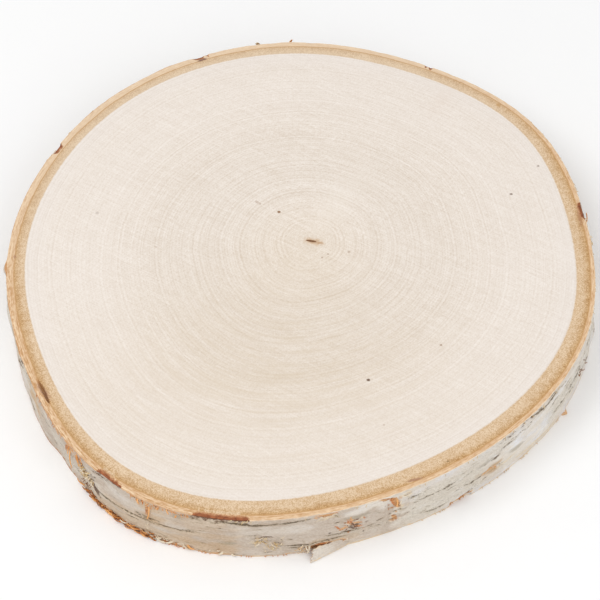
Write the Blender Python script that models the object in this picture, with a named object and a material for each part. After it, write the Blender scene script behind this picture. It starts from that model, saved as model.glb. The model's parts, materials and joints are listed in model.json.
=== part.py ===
"""Birch wood slice: a disc sawn across a birch trunk, with its bark left on.

The slice grew as one piece, so it is one solid: pale wood, inner bark and papery cork.
The origin is on the underside at the pith, +Z is up out of the sawn face, and +X points to the right
of the slice as it lies with its widest side towards the viewer. Bearings are in degrees about the pith,
from +X towards +Y. Heights are above the underside.
"""

import math
import random

import bmesh
import bpy
from mathutils import Vector, noise

MM = 0.001
SEED = 23

# Size of the slice
THICKNESS = 25.0 * MM
MEAN_RADIUS = 128.3 * MM

# Waves of the outline: how many go round, how far each moves the rim, and the bearing of a crest.
# The first wave is the pith's distance from the middle, and the second makes the trunk oval.
OUTLINE_WAVES = (
    (1, 11.8 * MM, 238.0),
    (2, 4.2 * MM, 77.0),
    (3, 2.4 * MM, 5.0),
    (4, 1.3 * MM, 329.0),
    (5, 1.3 * MM, 32.0),
    (7, 0.4 * MM, 341.0),
)

# The cork is the papery outer bark, which the saw leaves as a narrow ring along both edges
CORK_WIDTH = 2.6 * MM

# The least step down from the rim to the wall's highest row
RIM_STEP = 0.4 * MM

# How far in a broken rim slopes for each bit that it drops
BREAK_SLOPE = 0.3

# How finely the bark wall is divided
COLUMNS = 280
ROW_HEIGHTS = tuple(row * MM for row in (1.8, 4.0, 6.2, 9.0, 11.5, 14.0, 17.0, 20.0, 22.4, 24.0))

# Long swells of the bark and its finer waviness: how far out, length along the rim, length up the wall
SWELLS = ((0.45 * MM, 34.0 * MM, 21.0 * MM), (0.30 * MM, 9.0 * MM, 5.0 * MM))
EDGE_CALM = 0.35
EDGE_REACH = 2.5 * MM

# Lumps and hollows: bearing, height, reach along the rim, reach up the wall, how far out
LUMPS = (
    (183.5, 23.0 * MM, 3.0 * MM, 2.5 * MM, 1.5 * MM),
    (191.0, 13.0 * MM, 5.0 * MM, 4.0 * MM, 1.3 * MM),
    (204.0, 20.0 * MM, 5.0 * MM, 4.5 * MM, 1.3 * MM),
    (226.5, 6.0 * MM, 9.0 * MM, 8.0 * MM, -2.7 * MM),
    (234.0, 18.0 * MM, 4.0 * MM, 4.0 * MM, -1.6 * MM),
    (238.5, 3.0 * MM, 8.0 * MM, 3.0 * MM, 0.9 * MM),
    (276.0, 14.0 * MM, 6.0 * MM, 4.0 * MM, 0.7 * MM),
    (323.0, 2.0 * MM, 3.2 * MM, 2.6 * MM, 2.2 * MM),
    (334.0, 8.0 * MM, 6.0 * MM, 3.0 * MM, 0.9 * MM),
    (342.0, 4.5 * MM, 6.0 * MM, 3.2 * MM, 1.5 * MM),
)
BACK_LUMPS = 15
BACK_FROM, BACK_TO = 352.0, 538.0

# Lenticels, the dark breathing lines across the bark, each a low lip along the wall:
# first and last bearing, first and last height
LENTICELS = (
    (232.2, 251.0, 11.0 * MM, 13.0 * MM),
    (255.0, 268.5, 21.5 * MM, 23.0 * MM),
    (263.8, 274.0, 6.5 * MM, 6.0 * MM),
    (270.5, 280.0, 9.0 * MM, 10.5 * MM),
    (286.8, 294.2, 15.0 * MM, 16.0 * MM),
    (296.0, 301.0, 9.0 * MM, 11.0 * MM),
    (288.0, 292.5, 4.5 * MM, 4.5 * MM),
    (310.0, 320.5, 22.4 * MM, 22.4 * MM),
    (318.0, 331.0, 10.0 * MM, 13.0 * MM),
    (206.0, 219.0, 9.0 * MM, 9.0 * MM),
    (187.0, 198.0, 18.0 * MM, 17.0 * MM),
)
BACK_LENTICELS = 26
LENTICEL_REACH = 1.5 * MM
LENTICEL_RISE = 0.8 * MM

# Places where the outer cork has peeled away: first and last bearing, lowest and highest point, depth.
# Their outlines are ragged by this much, in patches this long along the rim and up the wall.
PEEL_RAGGED, PEEL_PATCH = 0.8 * MM, (4.0 * MM, 3.0 * MM)
PEELS = (
    (269.2, 272.9, 19.5 * MM, 23.4 * MM, 0.8 * MM),
    (276.0, 279.0, 15.5 * MM, 19.0 * MM, 0.7 * MM),
    (280.6, 283.4, 5.0 * MM, 22.5 * MM, 0.9 * MM),
    (292.6, 297.4, -3.0 * MM, 3.0 * MM, 1.1 * MM),
    (299.0, 303.0, 6.5 * MM, 11.5 * MM, 0.6 * MM),
    (267.3, 273.2, -3.0 * MM, 5.2 * MM, 1.3 * MM),
)
BACK_PEELS = 12
PEEL_EDGE = 1.2 * MM

# Stretches where the cork ring has broken off the upper edge: first and last bearing, how far down
BROKEN_RIM = (
    (232.4, 237.8, 2.4 * MM),
    (249.6, 259.4, 1.9 * MM),
    (3.0, 9.0, 1.0 * MM),
    (111.0, 114.0, 0.9 * MM),
    (60.5, 62.0, 0.8 * MM),
    (150.0, 153.5, 1.1 * MM),
)
BREAK_END = 2.5 * MM

# How far the saw has frayed both edges of the cork, in patches this long along the rim
RIM_FRAY, RIM_PATCH = 0.35 * MM, 5.0 * MM
FOOT_FRAY, FOOT_PATCH, FOOT_SOUND = 1.1 * MM, 7.0 * MM, 0.05

# The pith, a soft slit in the middle of the wood: half length, half width, depth, turn
PITH = (2.9 * MM, 0.9 * MM, 1.2 * MM, -14.0)
PITH_SIDES = 12

# The split between the cork and the inner bark: first and last bearing, distance in from the rim,
# width, depth. Its ends keep a share of the width.
SPLIT = (211.6, 217.4, 3.1 * MM, 1.7 * MM, 2.5 * MM)
SPLIT_STEPS = 6
SPLIT_ENDS = 0.12

# The flap, a sheet of bark that has come off the wall at its foot and leans out like a skirt:
# bearing of its hinge and of its free edge, heights there, and how far its foot and its head stand off
FLAP_HINGE, FLAP_FREE = 275.0, 267.9
FLAP_HEIGHTS = (4.2 * MM, 4.8 * MM)
FLAP_FOOT_OFF, FLAP_HEAD_OFF = 5.3 * MM, 2.9 * MM
FLAP_ROOT = 1.1 * MM
FLAP_THICKNESS = 1.0 * MM
FLAP_STEPS = 8

# Shreds and curls of cork, each a narrow strip that lifts off the wall: bearing and height of its root,
# which way it runs on the wall (0 along the rim, 90 up), length, width, and how far its tip stands off
SHREDS = (
    (224.6, 23.6 * MM, 274.0, 13.0 * MM, 2.0 * MM, 1.5 * MM),
    (226.6, 22.0 * MM, 262.0, 8.0 * MM, 1.8 * MM, 1.2 * MM),
    (228.3, 23.4 * MM, 283.0, 7.5 * MM, 2.0 * MM, 1.2 * MM),
    (232.0, 21.6 * MM, 300.0, 6.0 * MM, 2.2 * MM, 1.7 * MM),
    (234.6, 18.5 * MM, 150.0, 5.0 * MM, 2.2 * MM, 1.8 * MM),
    (235.6, 14.0 * MM, 210.0, 5.5 * MM, 2.2 * MM, 1.7 * MM),
    (242.6, 23.4 * MM, 268.0, 10.5 * MM, 1.8 * MM, 0.9 * MM),
    (247.0, 23.0 * MM, 285.0, 5.0 * MM, 1.6 * MM, 1.6 * MM),
    (260.4, 11.5 * MM, 235.0, 4.5 * MM, 2.0 * MM, 1.4 * MM),
    (261.6, 9.5 * MM, 330.0, 5.5 * MM, 2.0 * MM, 1.6 * MM),
    (263.4, 6.5 * MM, 60.0, 4.5 * MM, 2.0 * MM, 1.4 * MM),
    (281.9, 20.5 * MM, 268.0, 7.0 * MM, 2.6 * MM, 1.3 * MM),
    (281.7, 8.8 * MM, 92.0, 4.0 * MM, 2.4 * MM, 1.2 * MM),
    (283.8, 20.0 * MM, 24.0, 6.5 * MM, 2.4 * MM, 1.4 * MM),
    (301.8, 11.5 * MM, 262.0, 4.5 * MM, 1.8 * MM, 1.2 * MM),
)
# Frayed strips along the foot of the wall: first and last bearing, how many, length, stand-off
FOOT_FRINGES = (
    (228.5, 231.5, 2, 3.6 * MM, 1.6 * MM),
    (236.2, 243.4, 6, 4.6 * MM, 2.3 * MM),
    (252.5, 255.5, 2, 3.4 * MM, 1.0 * MM),
    (293.2, 296.4, 2, 3.4 * MM, 1.1 * MM),
)
FRINGE_WIDTH = 2.2 * MM
FRINGE_ROOTS = (2.2 * MM, 3.8 * MM)
FRINGE_HEADINGS = (225.0, 315.0)
FRINGE_STRAY = 0.2
BACK_SHREDS = 20
SHRED_THICKNESS = 0.8 * MM
SHRED_ROOT = 1.4 * MM
SHRED_STEPS = 4

# A shred rises to its furthest point before its tip, and its tip is narrower than its root
SHRED_BEND = 0.62 * math.pi
SHRED_TAPER = 0.45
FOOT_CLEARANCE = 0.25 * MM

# Colour, roughness
SAWN_WOOD = ((0.82, 0.74, 0.64), 0.62)
CORK_RING = ((0.79, 0.55, 0.35), 0.70)
WHITE_BARK = ((0.62, 0.58, 0.53), 0.68)
SHARP_ANGLE = 40.0


def clear_scene():
    """Removes whatever the scene holds."""
    for item in list(bpy.data.objects):
        bpy.data.objects.remove(item, do_unlink=True)


def turn_between(bearing, start):
    """Degrees from start to bearing, from -180 to 180."""
    return (bearing - start + 180.0) % 360.0 - 180.0


def smooth_step(low, high, value):
    """0 below low, 1 above high, and a smooth rise between."""
    share = min(1.0, max(0.0, (value - low) / (high - low)))
    return share * share * (3.0 - 2.0 * share)


def outline_radius(bearing):
    """Distance from the pith to the rim of the sawn face."""
    radius = MEAN_RADIUS
    for count, size, crest in OUTLINE_WAVES:
        radius += size * math.cos(math.radians(count * (bearing - crest)))
    return radius


def wall_point(bearing, height, out):
    """A point at this height, out from the plain outline by this much."""
    radius = outline_radius(bearing) + out
    angle = math.radians(bearing)
    return Vector((radius * math.cos(angle), radius * math.sin(angle), height))


def bark_noise(bearing, height, along, up):
    """Smooth noise from -1 to 1 whose patches are this long along the rim and this long up the wall."""
    angle = math.radians(bearing)
    ring = MEAN_RADIUS / along
    return noise.noise(Vector((ring * math.cos(angle), ring * math.sin(angle), height / up)))


def back_lumps(rng):
    """Lumps on the side that faces away, drawn at random."""
    lumps = []
    for _ in range(BACK_LUMPS):
        bearing = rng.uniform(BACK_FROM, BACK_TO)
        height = rng.uniform(3.0, 21.0) * MM
        along = rng.uniform(3.0, 7.0) * MM
        up = rng.uniform(2.5, 5.0) * MM
        lumps.append((bearing, height, along, up, rng.uniform(0.6, 1.5) * MM))
    return lumps


def back_lenticels(rng):
    """Lenticels on the side that faces away, each on one row of the wall."""
    lines = []
    for _ in range(BACK_LENTICELS):
        bearing = rng.uniform(BACK_FROM, BACK_TO)
        height = rng.choice(ROW_HEIGHTS[1:-1])
        lines.append((bearing, bearing + rng.uniform(4.0, 15.0), height, height))
    return lines


def back_peels(rng):
    """Peeled places on the side that faces away."""
    peels = []
    for _ in range(BACK_PEELS):
        bearing = rng.uniform(BACK_FROM, BACK_TO)
        low = rng.uniform(-2.0, 16.0) * MM
        high = low + rng.uniform(3.0, 9.0) * MM
        peels.append((bearing, bearing + rng.uniform(2.0, 6.0), low, high, rng.uniform(0.6, 1.0) * MM))
    return peels


def lump_relief(bearing, height, lumps):
    """How far the lumps and hollows move the wall out here."""
    out = 0.0
    for centre, level, along, up, rise in lumps:
        away = math.radians(turn_between(bearing, centre)) * MEAN_RADIUS / along
        out += rise * math.exp(-(away * away) - ((height - level) / up) ** 2)
    return out


def lenticel_relief(bearing, height, lines):
    """The low lips that the lenticels raise on the wall."""
    out = 0.0
    for first, last, start, end in lines:
        share = turn_between(bearing, first) / (last - first)
        if 0.0 <= share <= 1.0:
            level = start + share * (end - start)
            ends = math.sin(math.pi * share) ** 0.5
            out = max(out, ends * math.exp(-(((height - level) / LENTICEL_REACH) ** 2)))
    return LENTICEL_RISE * out


def peel_relief(bearing, height, peels):
    """How deep the wall lies where the outer cork has peeled, with a ragged outline."""
    depth = 0.0
    ragged = PEEL_RAGGED * bark_noise(bearing, height, *PEEL_PATCH)
    for first, last, low, high, deep in peels:
        middle = 0.5 * (first + last)
        half = math.radians(0.5 * (last - first)) * MEAN_RADIUS
        side = half - abs(math.radians(turn_between(bearing, middle))) * MEAN_RADIUS
        inside = min(side, high - height, height - low) + ragged
        depth = max(depth, deep * smooth_step(0.0, PEEL_EDGE, inside))
    return -depth


def bark_relief(bearing, height, marks):
    """How far the bark stands out from the plain outline at this place."""
    lumps, lines, peels = marks
    out = sum(rise * bark_noise(bearing, height, along, up) for rise, along, up in SWELLS)
    out += lenticel_relief(bearing, height, lines)
    out += peel_relief(bearing, height, peels)
    calm = EDGE_CALM + (1.0 - EDGE_CALM) * smooth_step(0.0, EDGE_REACH, THICKNESS - height)
    return out * calm + lump_relief(bearing, height, lumps)


def rim_drop(bearing):
    """How far the cork ring has broken down from the upper edge."""
    drop = RIM_FRAY * max(0.0, bark_noise(bearing, 0.0, RIM_PATCH, 1.0))
    for first, last, down in BROKEN_RIM:
        middle = 0.5 * (first + last)
        half = math.radians(0.5 * (last - first)) * MEAN_RADIUS
        inside = half - abs(math.radians(turn_between(bearing, middle))) * MEAN_RADIUS
        drop = max(drop, down * smooth_step(0.0, BREAK_END, inside))
    return drop


def foot_lift(bearing):
    """How far the saw has frayed the lower edge of the cork upwards."""
    return FOOT_FRAY * max(0.0, bark_noise(bearing, 1.0, FOOT_PATCH, 1.0) - FOOT_SOUND)


def column_points(bearing, marks):
    """One column of the slice, from the cork's inner edge above, down the wall, to the same edge below."""
    drop = rim_drop(bearing)
    top = bark_relief(bearing, THICKNESS, marks)
    foot = bark_relief(bearing, 0.0, marks)
    points = [wall_point(bearing, THICKNESS, top - CORK_WIDTH)]
    points.append(wall_point(bearing, THICKNESS - drop, top - BREAK_SLOPE * drop))
    for height in reversed(ROW_HEIGHTS):
        level = min(height, THICKNESS - drop - RIM_STEP)
        points.append(wall_point(bearing, level, bark_relief(bearing, height, marks)))
    points.append(wall_point(bearing, foot_lift(bearing), foot))
    points.append(wall_point(bearing, 0.0, foot - CORK_WIDTH))
    return points


def new_object(name, mesh_data, materials=()):
    """A mesh object made from the bmesh, linked to the scene."""
    mesh = bpy.data.meshes.new(name)
    mesh_data.to_mesh(mesh)
    mesh_data.free()
    for material in materials:
        mesh.materials.append(material)
    made = bpy.data.objects.new(name, mesh)
    bpy.context.scene.collection.objects.link(made)
    return made


def finish(name, colour, roughness):
    """A plain material of this colour and roughness."""
    material = bpy.data.materials.new(name)
    material.use_nodes = True
    shader = material.node_tree.nodes["Principled BSDF"]
    shader.inputs["Base Color"].default_value = (*colour, 1.0)
    shader.inputs["Roughness"].default_value = roughness
    shader.inputs["Metallic"].default_value = 0.0
    return material


def slice_body(marks):
    """The disc with its bark wall: rings of points joined into faces, and the two sawn faces."""
    body = bmesh.new()
    columns = []
    for index in range(COLUMNS):
        bearing = 360.0 * index / COLUMNS
        columns.append([body.verts.new(point) for point in column_points(bearing, marks)])
    rings = len(columns[0])
    for index in range(COLUMNS):
        here = columns[index]
        beyond = columns[(index + 1) % COLUMNS]
        for ring in range(rings - 1):
            face = body.faces.new((here[ring], here[ring + 1], beyond[ring + 1], beyond[ring]))
            face.material_index = 1 if ring in (0, rings - 2) else 2
    body.faces.new([column[0] for column in columns])
    body.faces.new([column[-1] for column in reversed(columns)])
    wood = finish("sawn_wood", *SAWN_WOOD)
    cork = finish("cork_ring", *CORK_RING)
    bark = finish("white_bark", *WHITE_BARK)
    return new_object("birch_slice", body, (wood, cork, bark))


def extruded(name, outline, low, high):
    """A closed prism over this outline, counter-clockwise seen from above."""
    prism = bmesh.new()
    lower = [prism.verts.new((x, y, low)) for x, y in outline]
    upper = [prism.verts.new((x, y, high)) for x, y in outline]
    prism.faces.new(list(reversed(lower)))
    prism.faces.new(upper)
    count = len(outline)
    for index in range(count):
        after = (index + 1) % count
        prism.faces.new((lower[index], lower[after], upper[after], upper[index]))
    return new_object(name, prism)


def pith_cutter():
    """A lens as long as the pith's slit."""
    half_length, half_width, depth, turn = PITH
    angle = math.radians(turn)
    outline = []
    for step in range(PITH_SIDES):
        around = math.tau * step / PITH_SIDES
        along = half_length * math.cos(around)
        across = half_width * math.sin(around)
        x = along * math.cos(angle) - across * math.sin(angle)
        y = along * math.sin(angle) + across * math.cos(angle)
        outline.append((x, y))
    return extruded("pith_cutter", outline, THICKNESS - depth, THICKNESS + depth)


def split_cutter():
    """A wedge that follows the rim, widest in its middle."""
    first, last, inset, width, depth = SPLIT
    outer, inner = [], []
    for step in range(SPLIT_STEPS + 1):
        share = step / SPLIT_STEPS
        bearing = first + share * (last - first)
        half = 0.5 * width * (SPLIT_ENDS + math.sin(math.pi * share))
        outer.append(wall_point(bearing, 0.0, half - inset)[:2])
        inner.append(wall_point(bearing, 0.0, -half - inset)[:2])
    return extruded("split_cutter", outer + inner[::-1], THICKNESS - depth, THICKNESS + depth)


def strip(name, path, widthways, thickness, widths):
    """A closed strip along the path. widthways gives its direction across at each point."""
    sheet = bmesh.new()
    sections = []
    for index, point in enumerate(path):
        before = path[max(0, index - 1)]
        after = path[min(len(path) - 1, index + 1)]
        across = widthways[index].normalized()
        face_normal = (after - before).cross(across).normalized()
        half = 0.5 * widths[index] * across
        rise = 0.5 * thickness * face_normal
        corners = (point - half - rise, point + half - rise, point + half + rise, point - half + rise)
        sections.append([sheet.verts.new(corner) for corner in corners])
    for here, beyond in zip(sections, sections[1:]):
        for side in range(4):
            after = (side + 1) % 4
            sheet.faces.new((here[side], here[after], beyond[after], beyond[side]))
    sheet.faces.new(list(reversed(sections[0])))
    sheet.faces.new(sections[-1])
    bmesh.ops.recalc_face_normals(sheet, faces=sheet.faces)
    return new_object(name, sheet)


def shred(bearing, height, heading, length, width, stand_off, marks):
    """A strip of cork with its root in the wall, which lifts away and bends back at its tip."""
    run = math.radians(heading)
    base = bark_relief(bearing, height, marks)
    room = FOOT_CLEARANCE + 0.5 * width
    tip_height = min(max(height + length * math.sin(run), room), THICKNESS - room)
    path, widthways, widths = [], [], []
    for step in range(SHRED_STEPS + 1):
        share = step / SHRED_STEPS
        out = base - SHRED_ROOT + (SHRED_ROOT + stand_off) * math.sin(SHRED_BEND * share)
        place = bearing + math.degrees(length * share * math.cos(run) / outline_radius(bearing))
        path.append(wall_point(place, height + share * (tip_height - height), out))
        side = math.radians(place)
        tangent = Vector((-math.sin(side), math.cos(side), 0.0))
        widthways.append(Vector((0.0, 0.0, math.cos(run))) - tangent * math.sin(run))
        widths.append(width * (1.0 - SHRED_TAPER * share))
    return strip("shred", path, widthways, SHRED_THICKNESS, widths)


def fringe(first, last, count, length, stand_off, rng, marks):
    """Frayed strips that point outwards along the foot of the wall."""
    made = []
    for index in range(count):
        share = (index + 0.5) / count
        bearing = first + share * (last - first) + rng.uniform(-FRINGE_STRAY, FRINGE_STRAY)
        swell = math.sin(math.pi * share)
        height = rng.uniform(*FRINGE_ROOTS)
        heading = rng.uniform(*FRINGE_HEADINGS)
        reach = stand_off * (0.5 + 0.5 * swell)
        made.append(shred(bearing, height, heading, length, FRINGE_WIDTH, reach, marks))
    return made


def back_shreds(rng, marks):
    """Shreds on the side that faces away."""
    made = []
    for _ in range(BACK_SHREDS):
        bearing = rng.uniform(BACK_FROM, BACK_TO)
        height = rng.uniform(5.0, 21.0) * MM
        heading = rng.uniform(0.0, 360.0)
        length = rng.uniform(4.0, 9.0) * MM
        width = rng.uniform(1.8, 3.0) * MM
        made.append(shred(bearing, height, heading, length, width, rng.uniform(0.9, 1.7) * MM, marks))
    return made


def flap():
    """The sheet at the foot of the wall, flush at its hinge and leaning out at its free edge."""
    path, widthways, widths = [], [], []
    for step in range(FLAP_STEPS + 1):
        share = step / FLAP_STEPS
        bearing = FLAP_HINGE + share * (FLAP_FREE - FLAP_HINGE)
        high = FLAP_HEIGHTS[0] + share * (FLAP_HEIGHTS[1] - FLAP_HEIGHTS[0])
        foot = wall_point(bearing, FOOT_CLEARANCE, share * (FLAP_ROOT + FLAP_FOOT_OFF) - FLAP_ROOT)
        head = wall_point(bearing, high, share * (FLAP_ROOT + FLAP_HEAD_OFF) - FLAP_ROOT)
        path.append(0.5 * (foot + head))
        widthways.append(head - foot)
        widths.append((head - foot).length)
    return strip("flap", path, widthways, FLAP_THICKNESS, widths)


def apply_boolean(target, pieces, operation, solver):
    """Joins the pieces to the target, or cuts them out of it, and removes them."""
    group = bpy.data.collections.new("boolean_pieces")
    bpy.context.scene.collection.children.link(group)
    for piece in pieces:
        group.objects.link(piece)
    modifier = target.modifiers.new("join", "BOOLEAN")
    modifier.operation = operation
    modifier.operand_type = "COLLECTION"
    modifier.collection = group
    modifier.solver = solver
    bpy.context.view_layer.update()
    graph = bpy.context.evaluated_depsgraph_get()
    joined = bpy.data.meshes.new_from_object(target.evaluated_get(graph))
    target.modifiers.clear()
    target.data = joined
    for piece in pieces:
        bpy.data.objects.remove(piece, do_unlink=True)
    bpy.data.collections.remove(group)


def shade(target):
    """Smooth shading, with the sawn edges left sharp."""
    target.data.shade_smooth()
    target.data.set_sharp_from_angle(angle=math.radians(SHARP_ANGLE))


def build():
    """Makes the slice."""
    clear_scene()
    rng = random.Random(SEED)
    lumps = list(LUMPS) + back_lumps(rng)
    lines = list(LENTICELS) + back_lenticels(rng)
    peels = list(PEELS) + back_peels(rng)
    marks = (lumps, lines, peels)
    body = slice_body(marks)
    apply_boolean(body, [pith_cutter(), split_cutter()], "DIFFERENCE", "EXACT")
    growths = [shred(*place, marks) for place in SHREDS]
    for place in FOOT_FRINGES:
        growths += fringe(*place, rng, marks)
    growths += back_shreds(rng, marks)
    growths.append(flap())
    apply_boolean(body, growths, "UNION", "MANIFOLD")
    shade(body)


build()
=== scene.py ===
"""Birch wood slice, dressed: sawn wood with growth rings, sandy inner bark, peach cork and papery bark.

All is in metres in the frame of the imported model: the origin is on the underside at the pith, +Z is up.
Bearings are in degrees about the pith, from +X towards +Y. Heights are above the underside.
Tables of places hold degrees and millimetres.
"""

from __future__ import annotations

import json
import logging
import math
import random
from collections.abc import Callable, Sequence
from dataclasses import dataclass, field
from enum import Enum
from functools import cached_property

import bpy
import numpy as np
from mathutils import Matrix, Vector, noise

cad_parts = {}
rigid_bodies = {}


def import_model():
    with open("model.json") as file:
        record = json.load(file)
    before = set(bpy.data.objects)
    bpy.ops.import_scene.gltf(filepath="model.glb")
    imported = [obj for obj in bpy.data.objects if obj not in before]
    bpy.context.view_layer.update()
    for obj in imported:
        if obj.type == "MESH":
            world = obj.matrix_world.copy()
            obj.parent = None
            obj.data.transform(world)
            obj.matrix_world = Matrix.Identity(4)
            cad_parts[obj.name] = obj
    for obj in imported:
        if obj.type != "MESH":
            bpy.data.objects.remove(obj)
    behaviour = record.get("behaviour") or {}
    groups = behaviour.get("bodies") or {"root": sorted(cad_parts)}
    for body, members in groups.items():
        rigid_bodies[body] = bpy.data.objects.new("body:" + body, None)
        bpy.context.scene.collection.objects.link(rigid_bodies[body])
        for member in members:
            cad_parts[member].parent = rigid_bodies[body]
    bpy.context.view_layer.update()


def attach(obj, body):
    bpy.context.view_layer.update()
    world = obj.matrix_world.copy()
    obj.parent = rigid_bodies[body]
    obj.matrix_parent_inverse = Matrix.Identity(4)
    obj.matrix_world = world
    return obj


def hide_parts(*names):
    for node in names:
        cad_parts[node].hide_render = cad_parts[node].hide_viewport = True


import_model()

logging.basicConfig(level=logging.INFO, format="%(message)s")
log = logging.getLogger("birch_slice")

MM = 0.001
NODE = "birch_slice"
BODY = "root"
MARK_SEED = 63
BACK = (352.0, 538.0)
FAR = 6.0

Colour = tuple[float, float, float, float]
Rings = list[tuple[np.ndarray, np.ndarray]]


def shown(red: float, green: float, blue: float) -> Colour:
    """The paint that shows as this 8-bit display colour in full white light.

    Args:
        red: Red from 0 to 255.
        green: Green from 0 to 255.
        blue: Blue from 0 to 255.

    Returns:
        Linear red, green, blue, and an alpha of 1.
    """
    def linear(value: float) -> float:
        """One channel from display to linear light."""
        share = value / 255.0
        return share / 12.92 if share <= 0.04045 else ((share + 0.055) / 1.055) ** 2.4

    return (linear(red), linear(green), linear(blue), 1.0)


def smooth_step(low: float, high: float, value: np.ndarray) -> np.ndarray:
    """0 below low, 1 above high, and a smooth rise between."""
    share = np.clip((value - low) / (high - low), 0.0, 1.0)
    return share * share * (3.0 - 2.0 * share)


def turn_between(bearing: np.ndarray, start: float) -> np.ndarray:
    """Degrees from start to bearing, from -180 to 180."""
    return (bearing - start + 180.0) % 360.0 - 180.0


# The trunk


@dataclass(frozen=True)
class Trunk:
    """The plain outline of the trunk and the noise that its bark is shaped with.

    Each wave of the outline has a number of crests, a size, and the bearing of one crest.
    """

    mean_radius: float = 128.3 * MM
    thickness: float = 25.0 * MM
    waves: tuple[tuple[int, float, float], ...] = (
        (1, 11.8 * MM, 238.0), (2, 4.2 * MM, 77.0), (3, 2.4 * MM, 5.0),
        (4, 1.3 * MM, 329.0), (5, 1.3 * MM, 32.0), (7, 0.4 * MM, 341.0),
    )

    def radius(self, bearing: np.ndarray) -> np.ndarray:
        """Distance from the pith to the plain outline."""
        swell = sum(size * np.cos(np.radians(count * (bearing - crest))) for count, size, crest in self.waves)
        return self.mean_radius + swell

    def place(self, bearing: np.ndarray, height: np.ndarray, out: np.ndarray) -> np.ndarray:
        """Points at these heights, out from the plain outline by this much.

        Args:
            bearing: Bearings in degrees.
            height: Heights above the underside.
            out: Distances out from the plain outline.

        Returns:
            The points, with x, y and z along the last axis.
        """
        radius = self.radius(bearing) + out
        angle = np.radians(bearing)
        return np.stack(np.broadcast_arrays(radius * np.cos(angle), radius * np.sin(angle), height), axis=-1)

    def noise(self, bearing: np.ndarray, height: np.ndarray, along: float, up: float) -> np.ndarray:
        """Noise from -1 to 1 whose patches are this long along the rim and this long up the wall."""
        angle = np.radians(bearing)
        ring = self.mean_radius / along
        parts = np.broadcast_arrays(ring * np.cos(angle), ring * np.sin(angle), height / up)
        points = np.stack(parts, axis=-1)
        values = [noise.noise(Vector(point)) for point in points.reshape(-1, 3)]
        return np.array(values).reshape(points.shape[:-1])


TRUNK = Trunk()
PER_DEGREE = math.radians(1.0) * TRUNK.mean_radius / MM


@dataclass(frozen=True)
class Lump:
    """A lump or hollow of the wall."""

    bearing: float
    height: float
    along: float
    up: float
    rise: float


@dataclass(frozen=True)
class Lenticel:
    """A breathing line across the bark, from one bearing and height to another."""

    first: float
    last: float
    start: float
    end: float


@dataclass(frozen=True)
class Peel:
    """A place where the outer cork has peeled away."""

    first: float
    last: float
    low: float
    high: float
    depth: float


@dataclass(frozen=True)
class Shred:
    """A strip of cork that lifts off the wall, from its root to its tip."""

    bearing: float
    height: float
    heading: float
    length: float
    width: float
    stand_off: float


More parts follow.
